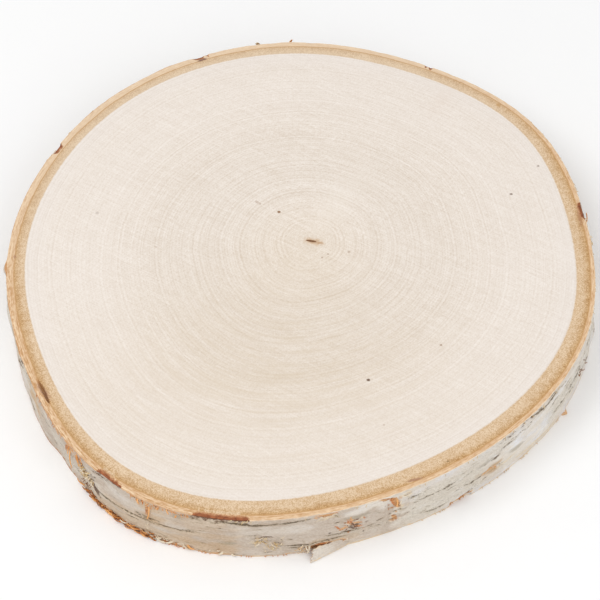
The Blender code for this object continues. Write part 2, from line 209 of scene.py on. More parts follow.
class Relief:
    """The shape of the bark wall: its swells, lumps, lenticels, peeled places and broken rim."""

    SEED = 23
    LEVELS = (4.0, 6.2, 9.0, 11.5, 14.0, 17.0, 20.0, 22.4)
    SWELLS = ((0.45 * MM, 34.0 * MM, 21.0 * MM), (0.30 * MM, 9.0 * MM, 5.0 * MM))
    LUMPS = (
        (183.5, 23, 3, 2.5, 1.5), (191, 13, 5, 4, 1.3), (204, 20, 5, 4.5, 1.3), (226.5, 6, 9, 8, -2.7),
        (234, 18, 4, 4, -1.6), (238.5, 3, 8, 3, 0.9), (276, 14, 6, 4, 0.7), (322.6, 1, 1.5, 1.5, 2.1),
        (220.6, 3, 7, 7, -1.9), (236.5, 3, 7, 4, -0.7), (230.6, 11, 1.8, 1.8, -1.5), (334, 8, 6, 3, 0.9),
        (342, 4.5, 6, 3.2, 1.5),
    )
    LENTICELS = (
        (232.2, 251, 11, 13), (255, 268.5, 21.5, 23), (263.8, 274, 6.5, 6), (270.5, 280, 9, 10.5),
        (286.8, 294.2, 15, 16), (296, 301, 9, 11), (288, 292.5, 4.5, 4.5), (310, 320.5, 22.4, 22.4),
        (318, 331, 10, 13), (206, 219, 9, 9), (187, 198, 18, 17),
    )
    PEELS = (
        (269.2, 272.9, 19.5, 23.4, 0.8), (276, 279, 15.5, 19, 0.7), (280.6, 283.4, 5, 22.5, 0.9),
        (292.6, 297.4, -3, 3, 1.1), (299, 303, 6.5, 11.5, 0.6), (267.3, 273.2, -3, 5.2, 1.3),
    )
    BROKEN_RIM = (
        (232.4, 237.8, 2.4), (249.6, 259.4, 1.9), (3, 9, 1), (111, 114, 0.9), (60.5, 62, 0.8),
        (150, 153.5, 1.1),
    )
    LENTICEL_REACH = 1.5 * MM
    LENTICEL_RISE = 0.8 * MM
    EDGE_CALM = 0.35
    EDGE_REACH = 2.5 * MM
    RIM_FRAY = 0.35 * MM
    FOOT_FRAY = 1.1 * MM

    def __init__(self) -> None:
        """Draws the marks of the side that faces away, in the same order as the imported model."""
        self.rng = random.Random(self.SEED)
        self.lumps = [Lump(b, h * MM, a * MM, u * MM, r * MM) for b, h, a, u, r in self.LUMPS]
        self.lumps += [self._back_lump() for _ in range(15)]
        self.lenticels = [Lenticel(b, c, h * MM, k * MM) for b, c, h, k in self.LENTICELS]
        self.lenticels += [self._back_lenticel() for _ in range(26)]
        self.peels = [Peel(b, c, low * MM, high * MM, d * MM) for b, c, low, high, d in self.PEELS]
        self.peels += [self._back_peel() for _ in range(12)]

    def _back_lump(self) -> Lump:
        """A lump on the side that faces away."""
        bearing = self.rng.uniform(*BACK)
        sizes = [self.rng.uniform(*span) * MM for span in ((3.0, 21.0), (3.0, 7.0), (2.5, 5.0), (0.6, 1.5))]
        return Lump(bearing, *sizes)

    def _back_lenticel(self) -> Lenticel:
        """A lenticel on the side that faces away."""
        bearing = self.rng.uniform(*BACK)
        height = self.rng.choice(self.LEVELS) * MM
        return Lenticel(bearing, bearing + self.rng.uniform(4.0, 15.0), height, height)

    def _back_peel(self) -> Peel:
        """A peeled place on the side that faces away."""
        bearing = self.rng.uniform(*BACK)
        low = self.rng.uniform(-2.0, 16.0) * MM
        high = low + self.rng.uniform(3.0, 9.0) * MM
        last = bearing + self.rng.uniform(2.0, 6.0)
        return Peel(bearing, last, low, high, self.rng.uniform(0.6, 1.0) * MM)

    def _lump_relief(self, bearing: np.ndarray, height: np.ndarray) -> np.ndarray:
        """How far the lumps and hollows move the wall out."""
        out = np.zeros(np.broadcast(bearing, height).shape)
        for lump in self.lumps:
            away = np.radians(turn_between(bearing, lump.bearing)) * TRUNK.mean_radius / lump.along
            out = out + lump.rise * np.exp(-away * away - ((height - lump.height) / lump.up) ** 2)
        return out

    def _lenticel_relief(self, bearing: np.ndarray, height: np.ndarray) -> np.ndarray:
        """The low lips that the lenticels raise on the wall."""
        out = np.zeros(np.broadcast(bearing, height).shape)
        for line in self.lenticels:
            share = turn_between(bearing, line.first) / (line.last - line.first)
            on_line = (share >= 0.0) & (share <= 1.0)
            level = line.start + share * (line.end - line.start)
            ends = np.sqrt(np.sin(math.pi * np.clip(share, 0.0, 1.0)))
            lip = ends * np.exp(-(((height - level) / self.LENTICEL_REACH) ** 2))
            out = np.maximum(out, np.where(on_line, lip, 0.0))
        return self.LENTICEL_RISE * out

    def _peel_relief(self, bearing: np.ndarray, height: np.ndarray) -> np.ndarray:
        """How deep the wall lies where the outer cork has peeled."""
        ragged = 0.8 * MM * TRUNK.noise(bearing, height, 4.0 * MM, 3.0 * MM)
        depth = np.zeros_like(ragged)
        for peel in self.peels:
            half = math.radians(0.5 * (peel.last - peel.first)) * TRUNK.mean_radius
            away = np.abs(np.radians(turn_between(bearing, 0.5 * (peel.first + peel.last))))
            side = half - away * TRUNK.mean_radius
            inside = np.minimum(side, np.minimum(peel.high - height, height - peel.low)) + ragged
            depth = np.maximum(depth, peel.depth * smooth_step(0.0, 1.2 * MM, inside))
        return -depth

    def bark(self, bearing: np.ndarray, height: np.ndarray) -> np.ndarray:
        """How far the bark stands out from the plain outline."""
        out = sum(rise * TRUNK.noise(bearing, height, along, up) for rise, along, up in self.SWELLS)
        out = out + self._lenticel_relief(bearing, height) + self._peel_relief(bearing, height)
        edge = smooth_step(0.0, self.EDGE_REACH, TRUNK.thickness - height)
        return out * (self.EDGE_CALM + (1.0 - self.EDGE_CALM) * edge) + self._lump_relief(bearing, height)

    def broken(self, bearing: np.ndarray) -> np.ndarray:
        """How far the cork ring has broken down from the upper edge in its broken stretches."""
        drop = np.zeros_like(bearing)
        for first, last, down in self.BROKEN_RIM:
            half = math.radians(0.5 * (last - first)) * TRUNK.mean_radius
            away = np.abs(np.radians(turn_between(bearing, 0.5 * (first + last)))) * TRUNK.mean_radius
            drop = np.maximum(drop, down * MM * smooth_step(-0.3 * MM, 0.5 * MM, half - away))
        return drop

    def rim_drop(self, bearing: np.ndarray) -> np.ndarray:
        """How far the upper edge lies below the sawn face."""
        fray = self.RIM_FRAY * np.maximum(0.0, TRUNK.noise(bearing, 0.0, 5.0 * MM, 1.0))
        return np.maximum(fray, self.broken(bearing))

    def foot_lift(self, bearing: np.ndarray) -> np.ndarray:
        """How far the saw has frayed the lower edge of the cork upwards."""
        return self.FOOT_FRAY * np.maximum(0.0, TRUNK.noise(bearing, 1.0, 7.0 * MM, 1.0) - 0.05)


# Marks of colour on the wall


class Tint(Enum):
    """Kinds of mark on the wall. Each names an attribute that holds the gap to the nearest such mark."""

    LINE = "line_gap"
    PEEL = "peel_gap"
    DARK = "dark_gap"
    RUST = "rust"
    ORANGE = "orange_gap"
    CREAM = "cream_gap"
    GREY = "grey_gap"


LINE, PEEL, DARK, RUST, ORANGE, CREAM, GREY = Tint


@dataclass(frozen=True)
class Stroke:
    """A mark drawn on the wall from one place to another, widest in its middle."""

    tint: Tint
    first: float
    start: float
    last: float
    end: float
    width: float

    def gap(self, bearing: np.ndarray, height: np.ndarray) -> np.ndarray:
        """How far a place lies outside the mark, in millimetres, and negative inside.

        Args:
            bearing: Bearings in degrees.
            height: Heights above the underside, in metres.

        Returns:
            The gap in millimetres.
        """
        scale = math.radians(1.0) * 1000.0 * TRUNK.radius(bearing)
        x = turn_between(bearing, self.first) * scale
        y = height / MM - self.start
        run_x = (self.last - self.first) * scale
        run_y = self.end - self.start
        share = np.clip((x * run_x + y * run_y) / (run_x * run_x + run_y * run_y + 1e-6), 0.0, 1.0)
        away = np.hypot(x - share * run_x, y - share * run_y)
        return away - 0.5 * self.width * (0.3 + 0.7 * np.sin(math.pi * share))


class Coat(Enum):
    """Broad changes of the bark's surface; the broad white coats of the front also hold painted light. Each
    is an attribute of the mesh, from 0 to 1.
    """

    WHITE = "white"
    GOLD = "gold"
    ROUGH = "rough"


WHITE, GOLD, ROUGH = Coat


@dataclass(frozen=True)
class Zone:
    """A stretch of the wall with a coat of its own, which fades at its edges."""

    coat: Coat
    first: float
    last: float
    low: float
    high: float
    strength: float

    def share(self, bearing: np.ndarray, height: np.ndarray, ragged: np.ndarray) -> np.ndarray:
        """How strongly the coat shows.

        Args:
            bearing: Bearings in degrees.
            height: Heights above the underside, in metres.
            ragged: Millimetres by which the zone's outline moves at each place.

        Returns:
            From 0 to the strength.
        """
        half = 0.5 * (self.last - self.first)
        side = (half - np.abs(turn_between(bearing, self.first + half))) * PER_DEGREE * 0.4
        level = height / MM
        inside = np.minimum(side, np.minimum(self.high - level, level - self.low)) + ragged
        return self.strength * smooth_step(-1.2, 1.6, inside)


FRONT_ZONES = {
    WHITE: (
        # The broad white coats from 283 and from 303 to 356 degrees are partly painted light: over the bark's
        # own white paper they lighten the right side of the front wall, where the light falls.
        (283, 356, -9, 34, 0.6), (303, 356, -4, 22, 0.8), (186, 215, -4, 22, 0.5),
        (305.6, 309.4, 9.5, 17.5, 1), (312.6, 318.6, 2.5, 10.5, 1), (322, 328, 17, 22.5, 0.8),
        (332, 346, 17, 24.5, 0.8), (274.5, 285, 19, 26, 0.7), (283.6, 303, 20.5, 26, 0.6),
        (297, 303, 15.5, 22, 0.6), (257, 268, 14, 20, 0.35), (208, 215, 3, 9, 0.6),
        (233, 246, 14.5, 20.5, 0.3), (281.5, 284.5, -2, 5, 0.6), (246, 280, -4, 4, 0.3),
    ),
    GOLD: (
        (228, 257, -4, 8.5, 0.55), (299.2, 302.6, 7.4, 10.8, 1), (234, 257, 8.5, 14, 0.4),
        (246, 256, 14, 26, 0.3), (208.5, 214.5, 11, 26, 0.9), (262, 284, -4, 3, 0.2),
        (198, 208, 18, 26, 0.6), (240.5, 245.5, 12, 26, 0.6), (308, 336, -4, 4, 0.15),
        (268, 276, 3, 8, 0.4),
    ),
    ROUGH: (
        (283.8, 300, 3, 20.5, 0.7), (317, 350, 6, 17, 0.7), (199, 212, 18, 26, 0.9), (219, 233, 1, 20, 0.6),
        (232, 247, 3, 11.5, 0.25), (186, 198, 4, 20, 0.6), (296, 307, 16, 25, 0.6), (271, 281, 5, 11, 0.35),
    ),
}


def back_zones(seed: int = 57) -> list[Zone]:
    """Coats of the side that faces away, drawn at random."""
    rng = random.Random(seed)
    zones = []
    for coat, count in ((WHITE, 16), (GOLD, 9), (ROUGH, 12)):
        for _ in range(count):
            first = rng.uniform(*BACK)
            low = rng.uniform(-4.0, 14.0)
            high = low + rng.uniform(6.0, 16.0)
            zones.append(Zone(coat, first, first + rng.uniform(5.0, 24.0), low, high, rng.uniform(0.4, 0.9)))
    return zones


@dataclass(frozen=True)
class Cluster:
    """Many small marks of one kind, drawn at random within a stretch of the wall."""

    tint: Tint
    count: int
    first: float
    last: float
    low: float
    high: float
    length: float
    rise: float
    width: float

    def strokes(self, rng: random.Random) -> list[Stroke]:
        """The marks."""
        made = []
        for _ in range(self.count):
            bearing = rng.uniform(self.first, self.last)
            height = rng.uniform(self.low, self.high)
            beyond = bearing + self.length * rng.uniform(0.3, 1.0)
            rise = self.rise * rng.uniform(-1.0, 1.0)
            width = self.width * rng.uniform(0.5, 1.2)
            made.append(Stroke(self.tint, bearing, height, beyond, height + rise, width))
        return made


CLUSTERS = (
    (ORANGE, 16, 213, 225, 22.8, 25, 1.4, 1.2, 0.9), (ORANGE, 10, 225, 230, 19.5, 25, 0.5, 3, 0.7),
    (DARK, 12, 200, 226, 14, 24, 0.7, 1.4, 0.5), (ORANGE, 34, 204, 231, 24, 25, 0.8, 0.5, 0.7),
    # The dark marks just under the rim from 205 to 231 degrees are dark flecks and also painted shade under
    # the frayed rim.
    (DARK, 20, 205, 231, 22.4, 24.4, 0.7, 0.8, 0.5), (CREAM, 12, 205, 231, 22.8, 24.6, 0.7, 0.6, 0.4),
    # The dark marks from 229 to 233 degrees, 8 to 20 mm up, are painted shade in the hollow behind the curled
    # shavings.
    (LINE, 14, 214, 232, 3, 20, 2.4, 1, 0.4), (DARK, 16, 229, 231.8, 13, 20, 0.5, 1.2, 1),
    (DARK, 16, 229.6, 232.8, 8, 12.5, 0.7, 0.8, 1.5), (ORANGE, 44, 228.5, 243.6, -0.6, 2.6, 0.9, 0.8, 1.1),
    (DARK, 34, 228.5, 243.6, 0.2, 3.6, 0.7, 0.6, 0.8), (ORANGE, 26, 243.6, 270, -0.6, 1, 1, 0.4, 0.7),
    (DARK, 12, 243.6, 258, -0.2, 1.6, 0.8, 0.3, 0.4), (CREAM, 22, 282, 322, -0.6, 1.6, 1, 0.5, 0.6),
    (ORANGE, 12, 282, 322, -0.6, 0.6, 0.8, 0.3, 0.6), (CREAM, 12, 228, 243, -0.4, 2.4, 0.7, 0.5, 0.5),
    (ORANGE, 16, 238, 249, 23.2, 25, 0.9, 0.7, 0.8), (DARK, 9, 240, 250, 22.4, 24.2, 0.7, 0.4, 0.4),
    (LINE, 16, 234, 262, 2, 22, 2.6, 0.4, 0.32), (DARK, 12, 249.6, 257.4, 23, 24, 1, 0.2, 0.5),
    (DARK, 16, 246.4, 255.6, 21.4, 23.2, 0.9, 0.4, 0.7), (GREY, 12, 246.4, 256, 20.4, 23, 1.2, 0.4, 1.2),
    (DARK, 14, 231.6, 237.4, 21.4, 23.4, 0.8, 0.6, 0.6), (GREY, 10, 231.6, 237.6, 19.4, 23.4, 1, 0.8, 1.2),
    (GREY, 16, 197, 216, 19, 24.4, 1.4, 1.6, 1.1), (ORANGE, 9, 224.2, 230.4, 19, 24.6, 0.6, 1.4, 0.8),
    (ORANGE, 12, 281.6, 283.2, 13, 21, 0.4, 1.5, 0.8), (DARK, 9, 258.8, 263.6, 5.5, 12.5, 0.3, 0.8, 0.5),
    (CREAM, 14, 258.6, 263.8, 5, 12.8, 0.6, 1.8, 0.45), (GREY, 10, 258.6, 263.8, 5, 12.8, 0.5, 1.8, 0.7),
    (LINE, 16, 262, 284, 2, 23, 1.8, 0.6, 0.3), (DARK, 14, 273.4, 276.6, 9.5, 17.8, 0.4, 0.8, 0.6),
    (RUST, 10, 273.4, 276.8, 9.5, 17.8, 0.5, 0.8, 0.7),
    (ORANGE, 10, 273.4, 276.8, 9.5, 17.8, 0.5, 0.8, 0.7), (CREAM, 7, 273.4, 277, 9.5, 17.8, 0.5, 1, 0.6),
    (GREY, 8, 276, 279.6, 16.2, 19.6, 0.8, 0.8, 0.7), (ORANGE, 6, 268.8, 271.4, 22.4, 24, 0.8, 0.4, 0.6),
    (ORANGE, 4, 280.8, 282.8, 8.5, 22.5, 0.3, 1.6, 0.7), (DARK, 3, 280.4, 282.4, 12.5, 23, 0.4, 0.6, 0.5),
    (CREAM, 7, 282.8, 285.6, 14, 24, 0.6, 2.4, 0.6), (LINE, 30, 284, 304, 3, 22, 1.4, 0.9, 0.22),
    (ORANGE, 6, 292.4, 295.2, -0.6, 1.8, 0.7, 0.6, 0.8), (DARK, 10, 292.8, 297.2, 0, 3, 0.5, 0.7, 0.5),
    (DARK, 16, 303, 322, 21.6, 24.2, 1, 0.4, 0.55), (DARK, 14, 318, 346, 12, 24, 0.9, 0.4, 0.5),
    (LINE, 22, 303, 325, 16, 24.2, 2.6, 0.8, 0.4), (LINE, 30, 317, 349, 7, 17, 2.6, 1, 0.5),
    (DARK, 12, 328, 338, 5, 12, 0.5, 0.8, 0.7), (DARK, 9, 186, 200, 6, 23, 0.8, 1.6, 0.7),
    (ORANGE, 7, 182, 200, 18, 24.6, 0.7, 1.2, 0.7), (ORANGE, 30, 352, 538, 22.8, 25, 1.2, 0.8, 0.8),
    (ORANGE, 26, 352, 538, -0.6, 2, 1.2, 0.7, 1),
)

FRONT_STROKES = {
    LINE: (
        (232.2, 11, 236.4, 11.6, 0.9), (236, 11.6, 245.5, 13, 0.7), (244, 12.9, 251, 13.1, 0.5),
        (240.5, 13.6, 244.5, 14.2, 0.5), (254, 21.8, 262, 22.3, 1.1), (257.4, 22, 259, 22.1, 1.4),
        (261, 22.3, 268.6, 23, 0.8), (252.8, 20.8, 254.2, 20.8, 0.4), (263.8, 6.4, 269, 6.7, 0.9),
        (268, 6.8, 273.8, 6.9, 0.7), (264, 4.6, 267.3, 4.8, 0.7), (270.4, 9.6, 273.6, 9.4, 0.6),
        (273, 10.2, 276.4, 10.2, 0.6), (277, 10, 278.6, 10.4, 0.6), (279, 11.4, 280.4, 11.6, 0.5),
        (286.8, 14.8, 290.5, 15.4, 0.5), (289.5, 15.3, 294.4, 16.1, 0.6), (284.6, 17.6, 287, 18.4, 0.6),
        (295.6, 9.2, 301.4, 11.2, 0.6), (301.6, 15, 303.6, 15.6, 1.1), (303, 17, 308, 18.4, 0.5),
        (288, 4.4, 292.5, 4.6, 0.5), (310, 23.9, 317, 22.2, 0.7), (312, 21.6, 320.4, 23.2, 0.8),
        (318.4, 10, 325, 11.6, 0.6), (324, 12.6, 331, 13.2, 0.6), (333, 17, 341, 19, 0.7),
        (336, 12, 346, 13, 0.8), (206, 9, 213, 9.4, 0.6), (213, 15, 219, 15.6, 0.5),
        (187, 18, 193, 17.4, 0.6),
    ),
    GREY: (
        (298.5, 15.6, 302, 16.6, 2), (273.5, 18, 278, 17.5, 2.2), (254, 8, 256.5, 8.5, 2),
        (306, 12, 309.5, 10.5, 3),
    ),
    PEEL: (
        (269.6, 22.4, 272.4, 22.9, 3), (274.2, 15.2, 275.2, 13.6, 1), (279.4, 24.2, 281.8, 22.6, 1.7),
        (281.6, 22.8, 282.6, 18, 3), (282.3, 19, 283, 14.2, 2.8), (281.3, 15.6, 282.2, 15, 1),
        (281.8, 9.8, 282.6, 7, 2), (281.2, 7.2, 283, 6.6, 1.2), (292.4, 0.2, 297.4, 2.6, 3.2),
        (267.6, 1.6, 273.6, 4.4, 4.4),
    ),
    CREAM: (
        (269.4, 21, 272.4, 21.4, 1), (275.8, 15.6, 276.8, 16.4, 0.8), (283, 21.4, 285.4, 23, 1.1),
        (283.2, 18, 283.4, 12, 0.8), (268.6, 20.4, 273.2, 20.4, 0.6), (303, 7, 308, 8, 1.2),
        (308, 3.6, 321, 2.2, 1.4), (242, 7.6, 242.6, 3.4, 0.7), (267.6, 5.6, 270.6, 3.4, 1),
        (258.5, 9.5, 260.5, 10.5, 0.7), (260.8, 7.4, 261, 3, 0.5),
    ),
    RUST: (
        (270.4, 24, 272.8, 24.2, 0.5), (272, 14.6, 273, 11, 0.8), (274, 16.8, 274.6, 14.6, 0.9),
        (275, 12.2, 276.6, 11.6, 0.8), (281.4, 21.6, 282.3, 16.4, 1), (267.6, 4.6, 271.6, 5.4, 2),
    ),
    ORANGE: (
        (272.9, 11.4, 273.9, 13, 1.4), (274.4, 17.4, 275.3, 16.4, 1.1), (275.3, 14.8, 276.4, 13.8, 1.1),
        (270.6, 4.8, 273.8, 5.6, 1.1), (225.6, 25, 226.4, 19, 1.3), (225, 24.4, 227.2, 22.2, 2.8),
        (221.6, 24.4, 222.8, 22.4, 1.9), (227.2, 25, 229.2, 19.4, 1), (213, 24.6, 224, 24.4, 0.9),
        (233, 0.2, 243.4, 0.4, 1.6), (268.6, 24.2, 271.4, 23.6, 0.9), (242.4, 24.2, 242.9, 13, 1.1),
        (239.4, 24.4, 242, 23.8, 1), (245.4, 24.2, 248.4, 23.4, 1), (299.2, 8.8, 302, 9, 1.6),
        (302.4, 10.6, 302.8, 7.6, 1), (321.9, 1.2, 323.3, 0.9, 3), (252.6, 0.6, 255, 0.6, 1.4),
        (182.6, 23.4, 184.2, 22.6, 1.6),
    ),
    DARK: (
        (274.8, 13.4, 276.2, 12.6, 0.9), (204, 21.4, 206.4, 19.4, 2.2), (205.8, 23.4, 206.6, 22.6, 1.2),
        # The dark marks from 229 to 233 degrees, 7 to 20 mm up, are painted shade in the hollow behind the
        # curled shavings.
        (229, 20.4, 230, 17.4, 1.6), (229.8, 16, 231.4, 14.2, 1.6), (229.2, 13, 232.4, 9.4, 5),
        (229.4, 10.4, 231, 9, 4), (230.6, 9, 233, 7, 2.2), (232.8, 21.6, 234.4, 20, 0.9),
        (250.6, 23.6, 254.8, 23.6, 0.9), (260.4, 13, 262.4, 12.8, 0.8), (260.2, 10.2, 260.9, 9.4, 0.7),
        (274.2, 12, 275.8, 11, 1), (276.8, 13.2, 277.6, 12.8, 0.6), (271, 11, 271.3, 10.7, 0.6),
        (268.8, 6, 272, 6.3, 0.4), (333.2, 8.2, 334.6, 7.6, 1.8), (341.6, 5.4, 342.6, 4.6, 1.4),
        (293.6, 2, 297.4, 3.6, 1.3), (281.2, 11.4, 281.7, 11, 0.7), (276.6, 7.8, 276.9, 5.4, 0.4),
        (216, 24, 219, 23.6, 0.6),
    ),
}

BACK_SCATTER = (
    (LINE, 46, (0.8, 5.0), 0.3, (0.3, 0.7)), (GREY, 14, (2.0, 8.0), 2.0, (1.5, 4.0)),
    (DARK, 20, (0.2, 1.4), 1.2, (0.5, 1.8)), (ORANGE, 12, (0.4, 2.4), 1.4, (0.6, 1.8)),
    (CREAM, 12, (1.0, 6.0), 1.0, (0.7, 2.4)),
)


def back_strokes(relief: Relief, seed: int = 41) -> list[Stroke]:
    """Marks on the side that faces away: its lenticels and peels, and others drawn at random.

    Args:
        relief: The shape of the wall, whose lenticels and peels get their colours.
        seed: Starts the random draws.

    Returns:
        The marks.
    """
    rng = random.Random(seed)
    strokes = []
    for line in relief.lenticels[len(Relief.LENTICELS):]:
        cuts = [0.0, rng.uniform(0.3, 0.6), 1.0]
        for low, high in zip(cuts, cuts[1:]):
            begin = line.first + (low + 0.02) * (line.last - line.first)
            finish = line.first + (high - rng.uniform(0.02, 0.15)) * (line.last - line.first)
            level = line.start / MM + rng.uniform(-0.3, 0.3)
            strokes.append(Stroke(LINE, begin, level, finish, level + 0.2, rng.uniform(0.5, 1.0)))
    for peel in relief.peels[len(Relief.PEELS):]:
        level = 0.5 * (peel.low + peel.high) / MM
        width = 0.7 * (peel.high - peel.low) / MM
        strokes.append(Stroke(PEEL, peel.first + 0.6, level - 0.4, peel.last - 0.6, level + 0.4, width))
        edge = peel.low / MM + 0.3
        strokes.append(Stroke(CREAM, peel.first, edge, peel.last, edge + 0.5, 0.7))
    for tint, count, lengths, tilt, widths in BACK_SCATTER:
        for _ in range(count):
            bearing = rng.uniform(*BACK)
            height = rng.uniform(1.5, 23.5)
            beyond = bearing + rng.uniform(*lengths)
            rise = rng.uniform(-tilt, tilt)
            strokes.append(Stroke(tint, bearing, height, beyond, height + rise, rng.uniform(*widths)))
    return strokes


# Node trees


class Wire:
    """A value on its way through a node tree. Arithmetic on it adds nodes."""

    def __init__(self, graph: Graph, socket: bpy.types.NodeSocket) -> None:
        """Keeps the tree and the socket that the value comes out of."""
        self.graph = graph
        self.socket = socket

    def maths(self, operation: str, second: Feed = 0.0) -> Wire:
        """One step of arithmetic, by the name that the node has for it."""
        return self.graph.made("ShaderNodeMath", (self, second), operation=operation)

    def __add__(self, other: Feed) -> Wire:
        """The sum."""
        return self.maths("ADD", other)

    def __sub__(self, other: Feed) -> Wire:
        """The difference."""
        return self.maths("SUBTRACT", other)

    def __mul__(self, other: Feed) -> Wire:
        """The product."""
        return self.maths("MULTIPLY", other)

    def __truediv__(self, other: Feed) -> Wire:
        """The quotient."""
        return self.maths("DIVIDE", other)

    def clamped(self) -> Wire:
        """The same sum, kept from 0 to 1."""
        self.socket.node.use_clamp = True
        return self

    def remap(self, low: float, high: float, start: float = 0.0, end: Feed = 1.0) -> Wire:
        """A smooth step: start at low, end at high."""
        feeds = (self, low, high, start, end)
        return self.graph.made("ShaderNodeMapRange", feeds, interpolation_type="SMOOTHSTEP")


Feed = float | tuple | Wire


class Graph:
    """A shader node tree under construction, with short names for the nodes that the finishes use."""

    def __init__(self, tree: bpy.types.NodeTree) -> None:
        """Keeps the tree."""
        self.tree = tree

    def node(self, kind: str, **settings: object) -> bpy.types.Node:
        """A new node of this kind, with these properties set."""
        node = self.tree.nodes.new(kind)
        for name, value in settings.items():
            setattr(node, name, value)
        return node

    def feed(self, socket: bpy.types.NodeSocket, value: Feed) -> None:
        """Links or sets the socket, whichever the value calls for."""
        if isinstance(value, Wire):
            self.tree.links.new(value.socket, socket)
        else:
            socket.default_value = value

    def made(self, kind: str, feeds: Sequence[Feed], out: int | str = 0, **settings: object) -> Wire:
        """The output of a new node.

        Args:
            kind: Type of the node.
            feeds: Values for its first inputs.
            out: Which of its outputs is meant.
            settings: Its properties.

        Returns:
            The output.
        """
        node = self.node(kind, **settings)
        for socket, value in zip(node.inputs, feeds):
            self.feed(socket, value)
        return Wire(self, node.outputs[out])

    def vector(self, operation: str, *feeds: Feed, out: int | str = 0) -> Wire:
        """One step of vector arithmetic."""
        return self.made("ShaderNodeVectorMath", feeds, out, operation=operation)

    def mix(self, share: Feed, first: Feed, second: Feed) -> Wire:
        """A colour between two colours."""
        node = self.node("ShaderNodeMix", data_type="RGBA", blend_type="MIX")
        for index, value in ((0, share), (6, first), (7, second)):
            self.feed(node.inputs[index], value)
        return Wire(self, node.outputs[2])

    def varied(self, value: Wire, gain: float, dark: Colour, light: Colour) -> Wire:
        """A colour that varies with noise about 0."""
        return self.mix((value * gain + 0.5).clamped(), dark, light)

    def scaled(self, vector: Wire, sizes: float | Sequence[float], turn: float = 0.0) -> Wire:
        """The place in a pattern whose patches have these sizes, turned by this angle in degrees.

        Args:
            vector: Places in millimetres.
            sizes: Length of a patch in millimetres, or its lengths along x, y and z.
            turn: Bearing of the pattern's own x axis, in degrees.

        Returns:
            The place, in patches.
        """
        if turn:
            node = self.node("ShaderNodeVectorRotate", rotation_type="Z_AXIS")
            self.feed(node.inputs["Vector"], vector)
            node.inputs["Angle"].default_value = -math.radians(turn)
            vector = Wire(self, node.outputs[0])
        lengths = (sizes,) * 3 if isinstance(sizes, float) else sizes
        return self.vector("MULTIPLY", vector, tuple(1.0 / length for length in lengths))

    def noise(self, sizes: float | Sequence[float], detail: float = 2.0, rough: float = 0.5,
              turn: float = 0.0, at: Wire | None = None) -> Wire:
        """Noise about 0, from about -0.5 to 0.5.

        Args:
            sizes: Length of a patch in millimetres, or its lengths along x, y and z.
            detail: How many finer noises are added.
            rough: How strong the finer ones are.
            turn: Bearing of the pattern's own x axis, in degrees.
            at: Places in millimetres, or the object's own when left out.

        Returns:
            The noise.
        """
        node = self.node("ShaderNodeTexNoise", noise_dimensions="3D")
        self.feed(node.inputs["Vector"], self.scaled(at or self.place, sizes, turn))
        for name, value in (("Scale", 1.0), ("Detail", detail), ("Roughness", rough)):
            node.inputs[name].default_value = value
        return Wire(self, node.outputs[0]) - 0.5

    def line_noise(self, value: Wire, size: float, detail: float) -> Wire:
        """Noise about 0 along a single measure, in stretches of this size."""
        node = self.node("ShaderNodeTexNoise", noise_dimensions="1D")
        self.feed(node.inputs["W"], value / size)
        node.inputs["Scale"].default_value = 1.0
        node.inputs["Detail"].default_value = detail
        return Wire(self, node.outputs[0]) - 0.5

    def attribute(self, name: str) -> Wire:
        """A number that the mesh carries."""
        return self.made("ShaderNodeAttribute", (), "Fac", attribute_name=name)

    @cached_property
    def place(self) -> Wire:
        """Object coordinates in millimetres."""
        return self.scaled(self.made("ShaderNodeTexCoord", (), "Object"), MM)

    def axis(self, letter: str, vector: Wire | None = None) -> Wire:
        """One coordinate of a vector, or of the place when no vector is given."""
        return self.made("ShaderNodeSeparateXYZ", (vector or self.place,), letter)

    def oval(self, centre: tuple[float, float], sizes: Sequence[float], turn: float) -> Wire:
        """Distance from a place on the upper face, which is 1 on the edge of an oval.

        Args:
            centre: Middle of the oval, in millimetres.
            sizes: Its half sizes along its length, across and upwards, in millimetres.
            turn: Bearing of its length, in degrees.

        Returns:
            The distance.
        """
        moved = self.vector("SUBTRACT", self.place, (*centre, TRUNK.thickness / MM))
        return self.vector("LENGTH", self.scaled(moved, sizes, turn), out="Value")


